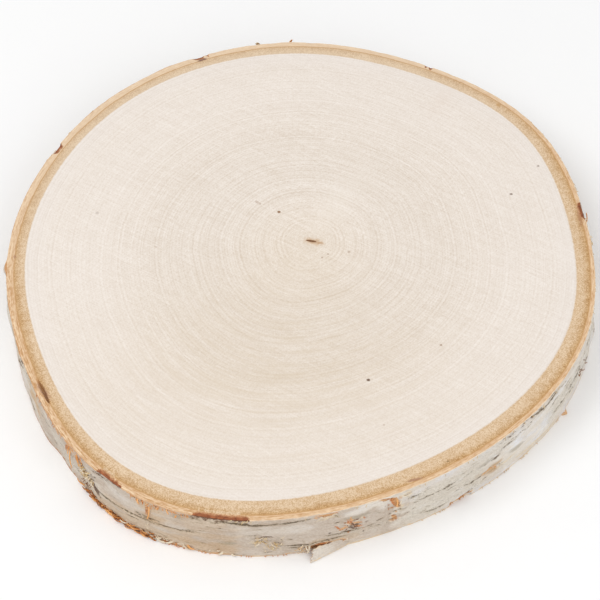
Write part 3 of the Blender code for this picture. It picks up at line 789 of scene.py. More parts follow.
class TrunkShape:
    """Node group that finds where a place lies within the trunk, in millimetres."""

    NAME = "trunk_shape"
    OUTPUTS = ("Ring", "Inset", "Bark", "Cork", "Back", "Around")

    @classmethod
    def tree(cls) -> bpy.types.NodeTree:
        """The group, made on first use."""
        if cls.NAME in bpy.data.node_groups:
            return bpy.data.node_groups[cls.NAME]
        tree = bpy.data.node_groups.new(cls.NAME, "ShaderNodeTree")
        tree.interface.new_socket("Place", in_out="INPUT", socket_type="NodeSocketVector")
        for name in cls.OUTPUTS:
            kind = "NodeSocketVector" if name == "Around" else "NodeSocketFloat"
            tree.interface.new_socket(name, in_out="OUTPUT", socket_type=kind)
        graph = Graph(tree)
        place = Wire(graph, graph.node("NodeGroupInput").outputs["Place"])
        x, y = graph.axis("X", place), graph.axis("Y", place)
        mean = TRUNK.mean_radius / MM
        radius = (x * x + y * y).maths("SQRT").maths("MAXIMUM", 0.001)
        angle = y.maths("ARCTAN2", x)
        outline = mean
        for count, size, crest in TRUNK.waves:
            phase = angle * float(count) - math.radians(count * crest)
            outline = phase.maths("COSINE") * (size / MM) + outline
        cosine, sine = x / radius, y / radius
        squared = (cosine * cosine).maths("MULTIPLY_ADD", 2.0)
        squared.socket.node.inputs[2].default_value = -1.0
        around = graph.made("ShaderNodeCombineXYZ", (cosine * mean, sine * mean))
        ring = radius / outline * mean
        inset = Wire(graph, outline.socket) - radius
        bark = sine * -1.1 + 8.05 + squared * -0.35
        cork = cosine * -0.62 + 2.7 + sine * 0.11
        back = (sine + cosine * -0.3).remap(-0.1, 0.9)
        leave = graph.node("NodeGroupOutput")
        for name, value in zip(cls.OUTPUTS, (ring, inset, bark, cork, back, around)):
            graph.feed(leave.inputs[name], value)
        return tree

    @classmethod
    def use(cls, graph: Graph) -> dict[str, Wire]:
        """Adds the group to a material and gives its outputs by name."""
        node = graph.node("ShaderNodeGroup", node_tree=cls.tree())
        graph.feed(node.inputs["Place"], graph.place)
        return {socket.name: Wire(graph, socket) for socket in node.outputs}


class Paint(Graph):
    """The node tree of a new material, at first with only its shader."""

    def __init__(self, name: str, roughness: float, specular: float = 0.3) -> None:
        """Makes the material."""
        self.material = bpy.data.materials.new(name)
        self.material.use_nodes = True
        super().__init__(self.material.node_tree)
        self.shader = self.tree.nodes["Principled BSDF"]
        self.shader.inputs["Roughness"].default_value = roughness
        self.shader.inputs["Specular IOR Level"].default_value = specular

    def done(self, colour: Wire, relief: Wire | None = None, distance: float = 0.0) -> bpy.types.Material:
        """Feeds the shader.

        Args:
            colour: Colour of the surface.
            relief: Its fine relief.
            distance: The unit of the relief, in metres.

        Returns:
            The material.
        """
        self.feed(self.shader.inputs["Base Color"], colour)
        if relief:
            bump = self.node("ShaderNodeBump")
            bump.inputs["Distance"].default_value = distance
            self.feed(bump.inputs["Height"], relief)
            self.feed(self.shader.inputs["Normal"], Wire(self, bump.outputs[0]))
        return self.material


# Finishes


@dataclass(frozen=True)
class Spot:
    """A small stain on the sawn face: its place, half length, half width, turn, strength and colour."""

    x: float
    y: float
    half_length: float
    half_width: float
    turn: float
    strength: float
    colour: Colour

    def over(self, graph: Graph, ragged: Wire, under: Wire) -> Wire:
        """Lays the stain over a colour.

        Args:
            graph: The material's tree.
            ragged: Noise that makes the stain's edge uneven.
            under: The colour below it.

        Returns:
            The colour with the stain.
        """
        sizes = (self.half_length, self.half_width, 4.0)
        away = graph.oval((self.x, self.y), sizes, self.turn) + ragged * 1.1
        return graph.mix(away.remap(0.45, 1.25, self.strength, 0.0), under, self.colour)


def rim_spot(bearing: float, inset: float, half_length: float, half_width: float, strength: float,
             colour: Colour) -> Spot:
    """A stain on the bark ring, by its bearing and its distance in from the rim."""
    radius = float(TRUNK.radius(np.array(bearing))) / MM - inset
    angle = math.radians(bearing)
    place = radius * math.cos(angle), radius * math.sin(angle)
    return Spot(*place, half_length, half_width, bearing + 90.0, strength, colour)


BROWN_SPECK = shown(150, 112, 78)
DARK_SPECK = shown(120, 96, 78)
PURPLE_STAIN = shown(168, 122, 98)
OCHRE_STAIN = shown(196, 150, 92)
SPOTS = (
    Spot(-13.3, 17.3, 0.8, 0.7, 0.0, 0.95, BROWN_SPECK),
    Spot(-22.7, 23.5, 1.3, 0.8, -40.0, 0.35, BROWN_SPECK),
    Spot(-21.4, 22.3, 0.5, 0.5, 0.0, 0.5, BROWN_SPECK),
    Spot(15.8, -6.9, 0.7, 0.6, 0.0, 0.45, BROWN_SPECK),
    Spot(6.9, -7.7, 0.5, 0.5, 0.0, 0.55, BROWN_SPECK),
    Spot(4.3, -9.5, 0.5, 0.5, 0.0, 0.5, BROWN_SPECK),
    Spot(20.8, -76.1, 0.8, 0.8, 0.0, 1.0, DARK_SPECK),
    Spot(26.1, -99.1, 0.5, 0.5, 0.0, 0.4, BROWN_SPECK),
    Spot(51.4, -59.2, 0.6, 0.6, 0.0, 0.65, BROWN_SPECK),
    Spot(87.0, 23.0, 0.8, 0.7, 0.0, 0.75, DARK_SPECK),
    Spot(100.1, 38.9, 0.6, 0.6, 0.0, 0.6, DARK_SPECK),
    Spot(-91.7, 20.4, 0.8, 0.8, 0.0, 0.3, DARK_SPECK),
    Spot(-66.1, -0.3, 0.5, 0.5, 0.0, 0.3, BROWN_SPECK),
    Spot(0.8, -0.5, 4.6, 2.2, -14.0, 0.5, shown(206, 166, 118)),
    Spot(0.4, -0.1, 3.2, 1.1, -14.0, 0.5, shown(176, 128, 84)),
    Spot(3.8, -1.3, 1.3, 0.7, -14.0, 0.6, shown(190, 150, 110)),
    rim_spot(112.4, 2.7, 2.2, 0.9, 0.9, shown(128, 92, 80)),
    rim_spot(181.4, 3.4, 1.2, 0.6, 0.6, PURPLE_STAIN),
    rim_spot(286.3, 3.2, 4.0, 0.7, 0.75, PURPLE_STAIN),
    rim_spot(276.6, 7.0, 1.6, 1.2, 0.3, OCHRE_STAIN),
    rim_spot(293.1, 4.4, 0.8, 0.4, 0.7, shown(140, 110, 70)),
    rim_spot(41.9, 4.0, 1.5, 0.8, 0.6, OCHRE_STAIN),
    rim_spot(4.2, 2.4, 6.5, 1.1, 0.75, shown(176, 128, 92)),
    rim_spot(214.4, 3.2, 5.4, 1.3, 0.75, shown(186, 146, 118)),
)


@dataclass(frozen=True)
class SawnFinish:
    """The sawn and sanded faces: growth rings and scratches in the wood, the sandy inner bark and the cork.

    A bright ring has its distance from the pith and its strength. A set of scratches has its bearing, length,
    width and strength.
    """

    name: str = "sawn_birch"
    roughness: float = 0.62
    shade: Colour = shown(217, 201, 183)
    light: Colour = shown(253, 245, 236)
    warm: Colour = shown(214, 194, 164)
    sapwood: Colour = shown(240, 232, 226)
    bright_rings: tuple[tuple[float, float], ...] = (
        (36.0, 0.4), (38.2, 0.2), (24.0, 0.25), (29.5, 0.2), (49.0, 0.2),
    )
    scratches: tuple[tuple[float, float, float, float], ...] = (
        (-34.0, 26.0, 0.5, 0.66), (-27.0, 14.0, 0.9, 0.3), (-41.0, 40.0, 0.4, 0.32),
        (48.0, 12.0, 0.55, 0.4), (88.0, 9.0, 0.5, 0.2),
    )

    def rings(self, graph: Graph, ring: Wire) -> Wire:
        """Fine growth rings, broader bands of them, and a few bright ones, as lightness about 0."""
        ring = ring + graph.noise(16.0) * 1.7
        fine = (graph.line_noise(ring, 0.9, 3.0) * 0.95).maths("MINIMUM", 0.13)
        bands = graph.line_noise(ring + 37.0, 4.6, 1.0) * 0.2
        fading = (graph.noise(20.0) * 1.6 + 0.85).clamped()
        tone = (fine + bands) * fading
        for centre, strength in self.bright_rings:
            bright = (ring - centre).maths("ABSOLUTE").remap(0.1, 0.8, 0.2 * strength, 0.0)
            tone = tone + bright * fading
        return tone

    def sanding(self, graph: Graph) -> Wire:
        """Long scratches that the sanding belt left, and a fainter set across them."""
        grains = [graph.noise((length, width, length), 2.0, 0.6, turn) * strength
                  for turn, length, width, strength in self.scratches]
        return sum(grains[1:], grains[0])

    def patch(self, graph: Graph, centre: tuple[float, float], sizes: tuple[float, float], strength: float,
              turn: float = 0.0) -> Wire:
        """A soft oval patch.

        Args:
            graph: The material's tree.
            centre: Middle of the patch, in millimetres.
            sizes: Its half length and half width, in millimetres.
            strength: Value at the centre.
            turn: Bearing of its length, in degrees.

        Returns:
            The strength, which fades to 0.
        """
        return graph.oval(centre, (*sizes, 1000.0), turn).remap(0.1, 1.0, strength, 0.0)

    def unrolled(self, graph: Graph, shape: dict[str, Wire], depth: str) -> Wire:
        """Places along the rim, with this output of the trunk's shape as their height."""
        upward = graph.made("ShaderNodeCombineXYZ", (0.0, 0.0, shape[depth]))
        return graph.vector("ADD", shape["Around"], upward)

    def wood(self, graph: Graph, shape: dict[str, Wire]) -> Wire:
        """The colour of the wood."""
        cloud = graph.noise((18.0, 7.0, 18.0), 4.0, 0.6, -34.0) * 0.22
        fleck = graph.noise((0.55, 0.7, 0.55), 1.0, 0.7) * 0.95
        tone = self.rings(graph, shape["Ring"]) + self.sanding(graph) + cloud + fleck + 0.5
        colour = graph.mix(tone.clamped(), self.shade, self.light)
        heart = shape["Ring"].remap(-10.0, 26.0, 0.07, 0.0)
        heart = heart + self.patch(graph, (-6.0, -16.0), (46.0, 34.0), 0.06)
        uneven = graph.noise((34.0, 34.0, 1.8), 4.0, 0.6, at=self.unrolled(graph, shape, "Ring"))
        uneven = uneven.remap(-0.2, 0.24, 0.0, 0.55) + 0.3
        front = self.patch(graph, (-24.0, -80.0), (130.0, 82.0), 0.6)
        middle = self.patch(graph, (-14.0, -16.0), (66.0, 50.0), 0.18)
        colour = graph.mix((uneven * (front + middle) + heart).clamped(), colour, self.warm)
        wedge = self.patch(graph, (13.0, 24.0), (30.0, 11.0), 0.3, 60.0)
        colour = graph.mix(wedge, colour, shown(245, 236, 224))
        streak = self.patch(graph, (64.0, 86.0), (7.0, 26.0), 0.26, -34.0)
        colour = graph.mix(streak, colour, shown(226, 206, 188))
        off = (shape["Ring"] - 50.0).maths("ABSOLUTE")
        colour = graph.mix(off.remap(8.0, 42.0, 0.13, 0.0), colour, shown(212, 203, 196))
        beyond = (shape["Inset"] - shape["Bark"]).remap(1.0, 12.0, 0.2, 0.0)
        return graph.mix(beyond + shape["Ring"].remap(60.0, 96.0, 0.0, 0.3), colour, self.sapwood)

    def inner_bark(self, graph: Graph, shape: dict[str, Wire], depth: Wire) -> Wire:
        """The colour of the sandy inner bark, golden brown at the cork and paler towards the wood.

        Args:
            graph: The material's tree.
            shape: Outputs of the trunk's shape.
            depth: Millimetres in from the cork.

        Returns:
            The colour.
        """
        speck = graph.noise(0.42, 1.0, 0.75)
        blotch = graph.noise(2.3, 3.0, 0.6)
        cloud = graph.noise(11.0)
        paleness = (depth + blotch * 2.6 + cloud * 1.6).remap(-0.4, 4.2)
        dark = graph.mix(paleness, shown(176, 130, 78), shown(203, 168, 126))
        light = graph.mix(paleness, shown(221, 184, 134), shown(236, 211, 180))
        tone = speck * 3.4 + blotch * 0.8 + cloud * 0.4 + 0.52
        sand = graph.mix(tone.clamped(), dark, light)
        return graph.mix(shape["Back"] * 0.35, sand, shown(234, 217, 194))

    def cork(self, graph: Graph, shape: dict[str, Wire]) -> Wire:
        """The colour of the cork ring, with striations along the rim and a frayed outer edge."""
        rim = self.unrolled(graph, shape, "Inset")
        layers = graph.noise((7.0, 7.0, 0.3), 3.0, 0.65, at=rim)
        chips = graph.noise((2.2, 2.2, 0.7), 2.0, 0.6, at=rim)
        x = graph.axis("X")
        tone = (layers * 2.2 + chips * 1.5) * x.remap(-70.0, 30.0, 1.6, 0.9) + 0.57
        colour = graph.mix(tone.clamped(), shown(198, 148, 98), shown(243, 214, 178))
        colour = graph.mix(shape["Inset"].remap(1.0, 2.8) * 0.35, colour, shown(203, 160, 112))
        colour = graph.mix(shape["Back"] * 0.6, colour, shown(238, 216, 188))
        fray = graph.noise(3.0, 3.0, 0.6, at=rim)
        edge_tint = graph.mix(x.remap(-95.0, -20.0), shown(196, 138, 84), shown(240, 224, 202))
        return graph.mix((shape["Inset"] + fray * 1.8).remap(0.0, 0.55, 0.75, 0.0), colour, edge_tint)

    def raw_cork(self, graph: Graph, missing: Wire) -> Wire:
        """The colour where the cork has broken off, darker the more of it is missing."""
        chips = (graph.noise((2.2, 2.2, 0.6), 3.0) * 1.8 + 0.5).clamped()
        chips = (chips + graph.noise((0.9, 0.9, 0.5), 2.0, 0.7) * 1.6).clamped()
        pale = graph.mix(chips, shown(178, 120, 78), shown(220, 176, 132))
        dark = graph.mix(chips, shown(112, 58, 34), shown(176, 106, 64))
        return graph.mix(missing.remap(0.5, 1.6), pale, dark)

    def material(self) -> bpy.types.Material:
        """The material."""
        graph = Paint(self.name, self.roughness)
        shape = TrunkShape.use(graph)
        inset = shape["Inset"]
        ragged = graph.noise(1.3)
        wood = self.wood(graph, shape)
        cork = self.cork(graph, shape)
        absent = (graph.attribute("absent") + ragged * 0.8).remap(0.3, 0.9, 0.0, 2.2)
        depth = inset + shape["Cork"] * -1.0 + graph.noise(14.0) * 0.9 + ragged * 0.4 + absent
        wood_edge = inset + shape["Bark"] * -1.0 + ragged * 0.6
        bark = self.inner_bark(graph, shape, depth)
        bark = graph.mix(wood_edge.remap(-0.9, 0.0, 0.0, 0.25), bark, shown(206, 174, 132))
        colour = graph.mix(wood_edge.remap(-0.25, 0.6), bark, wood)
        # A darker orange-brown line where the cork meets the inner bark: partly the real boundary, partly a
        # painted thin shadow at the edge of the cork layer.
        seam_and_shadow = depth.maths("ABSOLUTE").remap(0.1, 0.6, 0.75, 0.0)
        colour = graph.mix(seam_and_shadow, colour, shown(196, 150, 98))
        colour = graph.mix(depth.remap(0.1, -0.25), colour, cork)
        for spot in SPOTS:
            colour = spot.over(graph, ragged, colour)
        broken = graph.attribute("broken")
        missing = broken + ragged * 0.7 + graph.noise(2.6, 3.0, 0.65) * 1.4
        there = broken.remap(0.02, 0.2)
        colour = graph.mix(missing.remap(0.2, 1.0) * there, colour, self.raw_cork(graph, missing))
        grit = graph.noise(0.5, 1.0) * inset.remap(8.5, 7.5, 0.25, 1.0)
        return graph.done(colour, grit + self.sanding(graph) * 0.35, 0.00012)


@dataclass(frozen=True)
class BarkFinish:
    """The papery outside of the bark, with its coats, lenticels, peeled places and stains."""

    name: str = "papery_bark"
    roughness: float = 0.7
    beige: Colour = shown(184, 165, 146)
    pale: Colour = shown(212, 200, 187)
    gold_dark: Colour = shown(182, 144, 102)
    gold_light: Colour = shown(216, 188, 150)
    white_dark: Colour = shown(228, 220, 208)
    white_light: Colour = shown(243, 236, 226)
    blue_white: Colour = shown(236, 237, 242)
    rough_dark: Colour = shown(211, 201, 185)
    rough_ground: Colour = shown(238, 231, 218)
    fissure: Colour = shown(156, 146, 126)

    def base(self, graph: Graph) -> Wire:
        """Papery bark without marks: beige, golden, white or grey and fissured, as the coats say."""
        white, gold, coarse = (graph.attribute(coat.value) for coat in Coat)
        patches = graph.noise((19.0, 19.0, 7.0), 3.0, 0.6)
        streaks = graph.noise((9.0, 9.0, 0.5), 3.0, 0.65)
        fine = graph.noise((1.0, 1.0, 0.45), 2.0, 0.7)
        tone = (patches * 1.2 + streaks * 1.2 + fine * 1.8 + 0.5).clamped()
        colour = graph.mix(tone, self.beige, self.pale)
        paper = graph.mix(patches.remap(-0.02, 0.16), self.white_light, self.blue_white)
        colour = graph.mix(white, colour, graph.mix(tone, self.white_dark, paper))
        colour = graph.mix(gold, colour, graph.mix(tone, self.gold_dark, self.gold_light))
        cracks = graph.noise((3.2, 3.2, 0.36), 4.0, 0.75)
        specks = graph.noise((0.7, 0.7, 0.5), 2.0, 0.7)
        ground = graph.mix((tone + specks * 1.6).clamped(), self.rough_dark, self.rough_ground)
        rough = graph.mix((cracks + specks * 0.5).remap(-0.1, -0.2, 0.0, 0.85), ground, self.fissure)
        colour = graph.mix(coarse * 0.8, colour, rough)
        soot = graph.noise((6.0, 6.0, 1.6), 4.0, 0.7).remap(0.1, 0.22, 0.0, 0.3)
        return graph.mix(soot, colour, shown(156, 144, 126))

    def marks(self, graph: Graph, colour: Wire) -> Wire:
        """Lays the marks of the wall over its colour.

        Args:
            graph: The material's tree.
            colour: The colour of the bark without marks.

        Returns:
            The colour with them.
        """
        ragged = graph.noise((1.7, 1.7, 0.8), 3.0, 0.65)
        fine = graph.noise((0.7, 0.7, 0.4), 2.0, 0.7)
        lip = graph.noise((2.6, 2.6, 1.4), 1.0).remap(-0.05, 0.15, -0.4, 0.6)
        calm = ragged * 1.3 + fine * 0.7
        torn = ragged * 1.7 + fine * 1.1
        cream = graph.varied(fine, 2.2, shown(214, 192, 154), shown(242, 230, 208))
        tan = graph.varied(ragged, 2.6, shown(142, 80, 42), shown(228, 176, 120))
        orange = graph.varied(fine, 2.6, shown(188, 116, 58), shown(240, 198, 142))
        rust = graph.varied(fine, 2.0, shown(164, 82, 30), shown(222, 146, 78))
        black = graph.varied(fine, 2.0, shown(66, 54, 40), shown(116, 98, 70))
        brown = graph.varied(fine, 2.4, shown(58, 42, 32), shown(130, 92, 62))
        layers = (
            (GREY, torn, 0.0, 0.9, 0.5, shown(150, 138, 112)), (CREAM, torn, 0.0, 0.4, 0.85, cream),
            (PEEL, torn, lip, 0.3, 0.85, shown(235, 220, 198)), (PEEL, torn, 0.0, 0.3, 0.95, tan),
            (ORANGE, torn, 0.0, 0.3, 0.9, orange), (RUST, torn, 0.0, 0.3, 0.95, rust),
            (LINE, calm, 0.3, 0.5, 0.25, shown(172, 150, 112)), (LINE, calm, 0.0, 0.25, 0.9, black),
            (DARK, torn, 0.0, 0.3, 0.9, brown),
        )
        for tint, edge, grow, soft, strength, over in layers:
            gap = graph.attribute(tint.value) + edge - grow
            colour = graph.mix(gap.remap(soft, -soft, 0.0, strength), colour, over)
        return colour

    def material(self) -> bpy.types.Material:
        """The material."""
        graph = Paint(self.name, self.roughness)
        dash = graph.noise((5.0, 5.0, 0.45)).remap(0.19, 0.26, 0.0, 0.6)
        colour = self.marks(graph, graph.mix(dash, self.base(graph), shown(122, 108, 86)))
        x = graph.axis("X")
        ragged = graph.noise((2.2, 2.2, 1.0), 3.0, 0.65) * 2.6
        level = graph.axis("Z") + ragged
        foot_tint = graph.mix(x.remap(-75.0, -10.0), shown(178, 120, 68), shown(230, 206, 170))
        colour = graph.mix((level + ragged).remap(0.9, 0.1, 0.0, 0.8), colour, foot_tint)
        head_tint = graph.mix(x.remap(-90.0, 20.0), shown(214, 160, 106), shown(240, 222, 198))
        colour = graph.mix(level.remap(24.2, 25.0, 0.0, 0.85), colour, head_tint)
        mottle = graph.noise((2.4, 2.4, 1.6), 3.0, 0.6)
        tan = graph.varied(mottle, 1.6, shown(178, 128, 84), shown(232, 206, 170))
        colour = graph.mix(graph.attribute("inside"), colour, tan)
        broken = graph.attribute("broken")
        torn = (broken + ragged * 0.25).remap(0.3, 1.0)
        high = (level + broken * 0.6).remap(24.0, 24.7)
        colour = graph.mix(torn * high, colour, shown(112, 70, 46))
        paper = graph.noise((3.5, 3.5, 0.5), 3.0, 0.6) * 1.4
        grit = graph.noise((0.7, 0.7, 0.5)) * (graph.attribute(Coat.ROUGH.value) * 2.0 + 1.0)
        return graph.done(colour, paper + grit, 0.00025)


@dataclass(frozen=True)
class ShredFinish:
    """Loose cork: pale paper outside, tan inside, with streaks along the strip."""

    name: str
    outside: Colour
    inside: Colour
    streak: Colour
    streaked: float = 0.3
    roughness: float = 0.7

    def material(self) -> bpy.types.Material:
        """The material."""
        graph = Paint(self.name, self.roughness)
        mottle = graph.noise((1.6, 1.6, 0.9), 3.0, 0.6)
        streaks = graph.noise((0.6, 0.6, 2.5), 2.0, 0.6)
        side = (graph.attribute("coat") + mottle * 0.8).remap(0.35, 0.65)
        share = (streaks * 1.8 + mottle * 1.4 + self.streaked).clamped()
        colour = graph.mix(share * 0.7, graph.mix(side, self.inside, self.outside), self.streak)
        return graph.done(colour, mottle + streaks, 0.00015)


class Finishes:
    """The finishes of the slice, each made once. The tables of the loose cork name its own."""

    SHREDS = {
        "pith": ShredFinish("soft_pith", shown(126, 88, 58), shown(112, 74, 46), shown(190, 148, 104)),
        "paper": ShredFinish(
            "curled_paper", shown(222, 208, 186), shown(214, 176, 128), shown(242, 230, 206),
        ),
        "tan": ShredFinish("frayed_cork", shown(230, 160, 88), shown(198, 118, 52), shown(246, 210, 156)),
        # The pale streaks of the torn cork stand in part for painted highlights on its flakes.
        "fringe": ShredFinish(
            "torn_cork", shown(180, 106, 48), shown(112, 58, 24), shown(232, 184, 118), 0.12,
        ),
        "fibre": ShredFinish("cork_fibre", shown(230, 210, 168), shown(206, 174, 118), shown(248, 238, 214)),
    }

    def __init__(self) -> None:
        """Makes the materials."""
        self.sawn = SawnFinish().material()
        self.bark = BarkFinish().material()
        self.loose = {name: finish.material() for name, finish in self.SHREDS.items()}


# Modelling helpers


def make_active(*items: bpy.types.Object) -> None:
    """Selects these objects alone, or nothing at all, and makes the first one active."""
    for item in bpy.context.view_layer.objects:
        item.select_set(item in items)
    if items:
        bpy.context.view_layer.objects.active = items[0]


def edit(item: bpy.types.Object, work: Callable[[], None]) -> None:
    """Does some work on the object in edit mode, where nothing is selected at first."""
    make_active(item)
    bpy.ops.object.mode_set(mode="EDIT")
    bpy.ops.mesh.select_mode(type="VERT")
    bpy.ops.mesh.select_all(action="DESELECT")
    work()
    bpy.ops.object.mode_set(mode="OBJECT")


def select_vertices(item: bpy.types.Object, chosen: Callable[[Vector], bool], narrow: bool = False) -> None:
    """Selects vertices by their place, from edit mode.

    Args:
        item: The object in edit mode.
        chosen: Whether a vertex at this place is wanted.
        narrow: Keeps only vertices that are selected already.
    """
    bpy.ops.object.mode_set(mode="OBJECT")
    picked = [(not narrow or vertex.select) and chosen(vertex.co) for vertex in item.data.vertices]
    for face in item.data.polygons:
        face.select = False
    for line in item.data.edges:
        line.select = picked[line.vertices[0]] and picked[line.vertices[1]]
    for vertex, wanted in zip(item.data.vertices, picked):
        vertex.select = wanted
    bpy.ops.object.mode_set(mode="EDIT")


def named(item: bpy.types.Object, name: str) -> bpy.types.Object:
    """Gives the object and its mesh this name."""
    item.name = name
    item.data.name = name
    return item


def sheet_grid(name: str, across: int, along: int, points: np.ndarray) -> bpy.types.Object:
    """A grid with this many faces each way, whose vertices are moved to these points."""
    make_active()
    bpy.ops.mesh.primitive_grid_add(x_subdivisions=across, y_subdivisions=along, size=1.0)
    sheet = named(bpy.context.object, name)
    move_vertices(sheet, points)
    return sheet


def move_vertices(item: bpy.types.Object, points: np.ndarray) -> None:
    """Puts the vertices at these places."""
    item.data.vertices.foreach_set("co", np.ascontiguousarray(points, dtype=np.float32).reshape(-1))
    item.data.update()


def carry(item: bpy.types.Object, name: str, values: np.ndarray) -> None:
    """Gives each vertex a number under this name."""
    made = item.data.attributes.new(name, "FLOAT", "POINT")
    made.data.foreach_set("value", np.ascontiguousarray(values, dtype=np.float32).reshape(-1))


def thicken(item: bpy.types.Object, thickness: float) -> None:
    """Makes a closed sheet of this thickness of an open one."""
    make_active(item)
    modifier = item.modifiers.new("thickness", "SOLIDIFY")
    modifier.thickness = thickness
    modifier.offset = 0.0
    bpy.ops.object.modifier_apply(modifier=modifier.name)


def joined(name: str, items: Sequence[bpy.types.Object]) -> bpy.types.Object:
    """Joins the objects into the first one, under this name."""
    make_active(*items)
    bpy.ops.object.join()
    return named(bpy.context.object, name)


def hand_over(item: bpy.types.Object, angle: float) -> bpy.types.Object:
    """Shades the finished piece and rides it on the slice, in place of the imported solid.

    Args:
        item: The piece.
        angle: Edges sharper than this, in degrees, stay sharp.

    Returns:
        The piece.
    """
    make_active(item)
    bpy.ops.object.shade_smooth_by_angle(angle=math.radians(angle))
    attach(item, BODY)
    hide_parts(NODE)
    log.info("%s: %d faces", item.name, len(item.data.polygons))
    return item


# The slice


@dataclass
class SliceBody:
    """The slice itself: wood and bark as one closed mesh.

    The split has its first and last bearing, its inset, width and depth. The pith has its half length, half
    width, depth and turn.
    """

    relief: Relief
    finishes: Finishes
    columns: int = 1400
    wall_rows: int = 46
    cork_steps: tuple[float, ...] = (2.2, 1.75, 1.35, 0.95, 0.6, 0.3, 0.0)
    foot_steps: tuple[float, ...] = (0.3, 0.8, 1.5, 2.6)
    split: tuple[float, float, float, float, float] = (211.6, 217.4, 3.1 * MM, 1.7 * MM, 2.5 * MM)
    pith: tuple[float, float, float, float] = (2.3 * MM, 0.5 * MM, 0.4 * MM, -14.0)
    break_share: float = 0.5
    break_inset: float = 0.8 * MM
    shrink: float = 0.2 * MM
    strokes: list[Stroke] = field(default_factory=list)
    zones: list[Zone] = field(default_factory=list)

    def wall_relief(self, bearing: np.ndarray, height: np.ndarray) -> np.ndarray:
        """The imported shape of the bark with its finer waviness."""
        out = self.relief.bark(bearing, height)
        edge = smooth_step(0.0, 2.0 * MM, np.minimum(TRUNK.thickness - height, height + 0.6 * MM))
        paper = 0.10 * MM * TRUNK.noise(bearing, height, 7.0 * MM, 0.9 * MM)
        grain = 0.07 * MM * TRUNK.noise(bearing, height, 1.8 * MM, 1.2 * MM)
        crumple = 0.16 * MM * TRUNK.noise(bearing, height, 4.0 * MM, 2.6 * MM)
        return out + (paper + grain + crumple) * (0.4 + 0.6 * edge) - self.shrink

    def break_depth(self, bearing: np.ndarray) -> np.ndarray:
        """How far the cork ring is missing, from 0 to 1, with ragged ends to each stretch."""
        ragged = 3.0 * TRUNK.noise(bearing, 5.0 * MM, 1.6 * MM, 1.0 * MM)
        missing = np.zeros_like(bearing)
        for first, last, down in self.relief.BROKEN_RIM:
            half = 0.5 * (last - first)
            inside = (half - np.abs(turn_between(bearing, first + half))) * PER_DEGREE + ragged
            ramp = min(7.5, 0.5 * half * PER_DEGREE)
            missing = np.maximum(missing, min(1.0, down / 1.4) * smooth_step(-0.4, ramp, inside))
        return missing

    def coats(self, bearing: np.ndarray, height: np.ndarray) -> dict[Coat, np.ndarray]:
        """How strongly each coat shows at each place."""
        ragged = 2.6 * TRUNK.noise(bearing, height, 5.0 * MM, 2.4 * MM)
        coats = {coat: np.zeros(bearing.shape) for coat in Coat}
        for zone in self.zones:
            coats[zone.coat] = np.maximum(coats[zone.coat], zone.share(bearing, height, ragged))
        return coats

    def gaps(self, bearing: np.ndarray, height: np.ndarray) -> dict[Tint, np.ndarray]:
        """For each kind of mark, how far each place lies from the nearest one, in millimetres."""
        gaps = {tint: np.full(bearing.shape, FAR) for tint in Tint}
        for stroke in self.strokes:
            gaps[stroke.tint] = np.minimum(gaps[stroke.tint], stroke.gap(bearing, height))
        return gaps

    def upper_rings(self, bearing: np.ndarray, top: np.ndarray, missing: np.ndarray) -> Rings:
        """Rings of the upper face from the inner bark out to the rim.

        Args:
            bearing: The columns' bearings.
            top: How far out the rim stands at each.
            missing: How far the cork ring is missing at each.

        Returns:
            For each ring, how far out it is and its height.
        """
        level = np.full_like(bearing, TRUNK.thickness)
        rings = [(top - 5.6 * MM, level), (top - 4.6 * MM, level)]
        first, last, inset, width, depth = self.split
        opening = np.sin(math.pi * np.clip((bearing - first) / (last - first), 0.0, 1.0))
        half = 0.5 * width * opening * (1.0 + 0.3 * TRUNK.noise(bearing, 0.0, 1.5 * MM, 1.0))
        for side, sunk in ((1.0, 0.0), (0.6, 1.0), (-0.6, 1.0), (-1.0, 0.0)):
            drop = sunk * depth * np.minimum(1.0, 1.6 * opening)
            rings.append((-inset - side * (half + 0.22 * MM), level - drop))
        broken = self.break_share * self.relief.broken(bearing) * missing
        fray = np.minimum(self.relief.rim_drop(bearing), np.maximum(broken, self.relief.RIM_FRAY))
        broken = broken * (0.8 + 0.7 * TRUNK.noise(bearing, 1.7 * MM, 2.5 * MM, 1.0 * MM))
        pushed = self.break_inset * missing
        narrow = 1.0 - 0.15 * pushed / self.break_inset
        for step in self.cork_steps:
            inset = step * MM
            ragged = 0.5 * MM * TRUNK.noise(bearing, step, 1.6 * MM, 1.0)
            torn = broken * (1.0 - smooth_step(0.0, 2.0 * MM, inset + ragged))
            edge = fray * (1.0 - smooth_step(0.0, 0.9 * MM, inset + np.zeros_like(bearing)))
            rough = 0.06 * MM * (1.0 + TRUNK.noise(bearing, step * 3.0, 3.0 * MM, 1.0))
            rings.append((top - pushed - inset * narrow, level - np.maximum(torn, edge) - rough))
        return rings

    def wall_rings(self, bearing: np.ndarray, rim_height: np.ndarray, missing: np.ndarray) -> Rings:
        """Rings of the wall below the rim and of the underside's cork, in the same way."""
        foot = self.wall_relief(bearing, np.zeros_like(bearing))
        lift = self.relief.foot_lift(bearing)
        rings = []
        for step in range(1, self.wall_rows):
            height = rim_height + step / self.wall_rows * (lift - rim_height)
            below = self.break_inset * missing * np.exp(-((rim_height - height) / (3.4 * MM)) ** 2)
            rings.append((self.wall_relief(bearing, height) - below, height))
        rings.append((foot, lift))
        for step in self.foot_steps:
            rings.append((foot - step * MM, lift * (1.0 - step / self.foot_steps[-1])))
        return rings

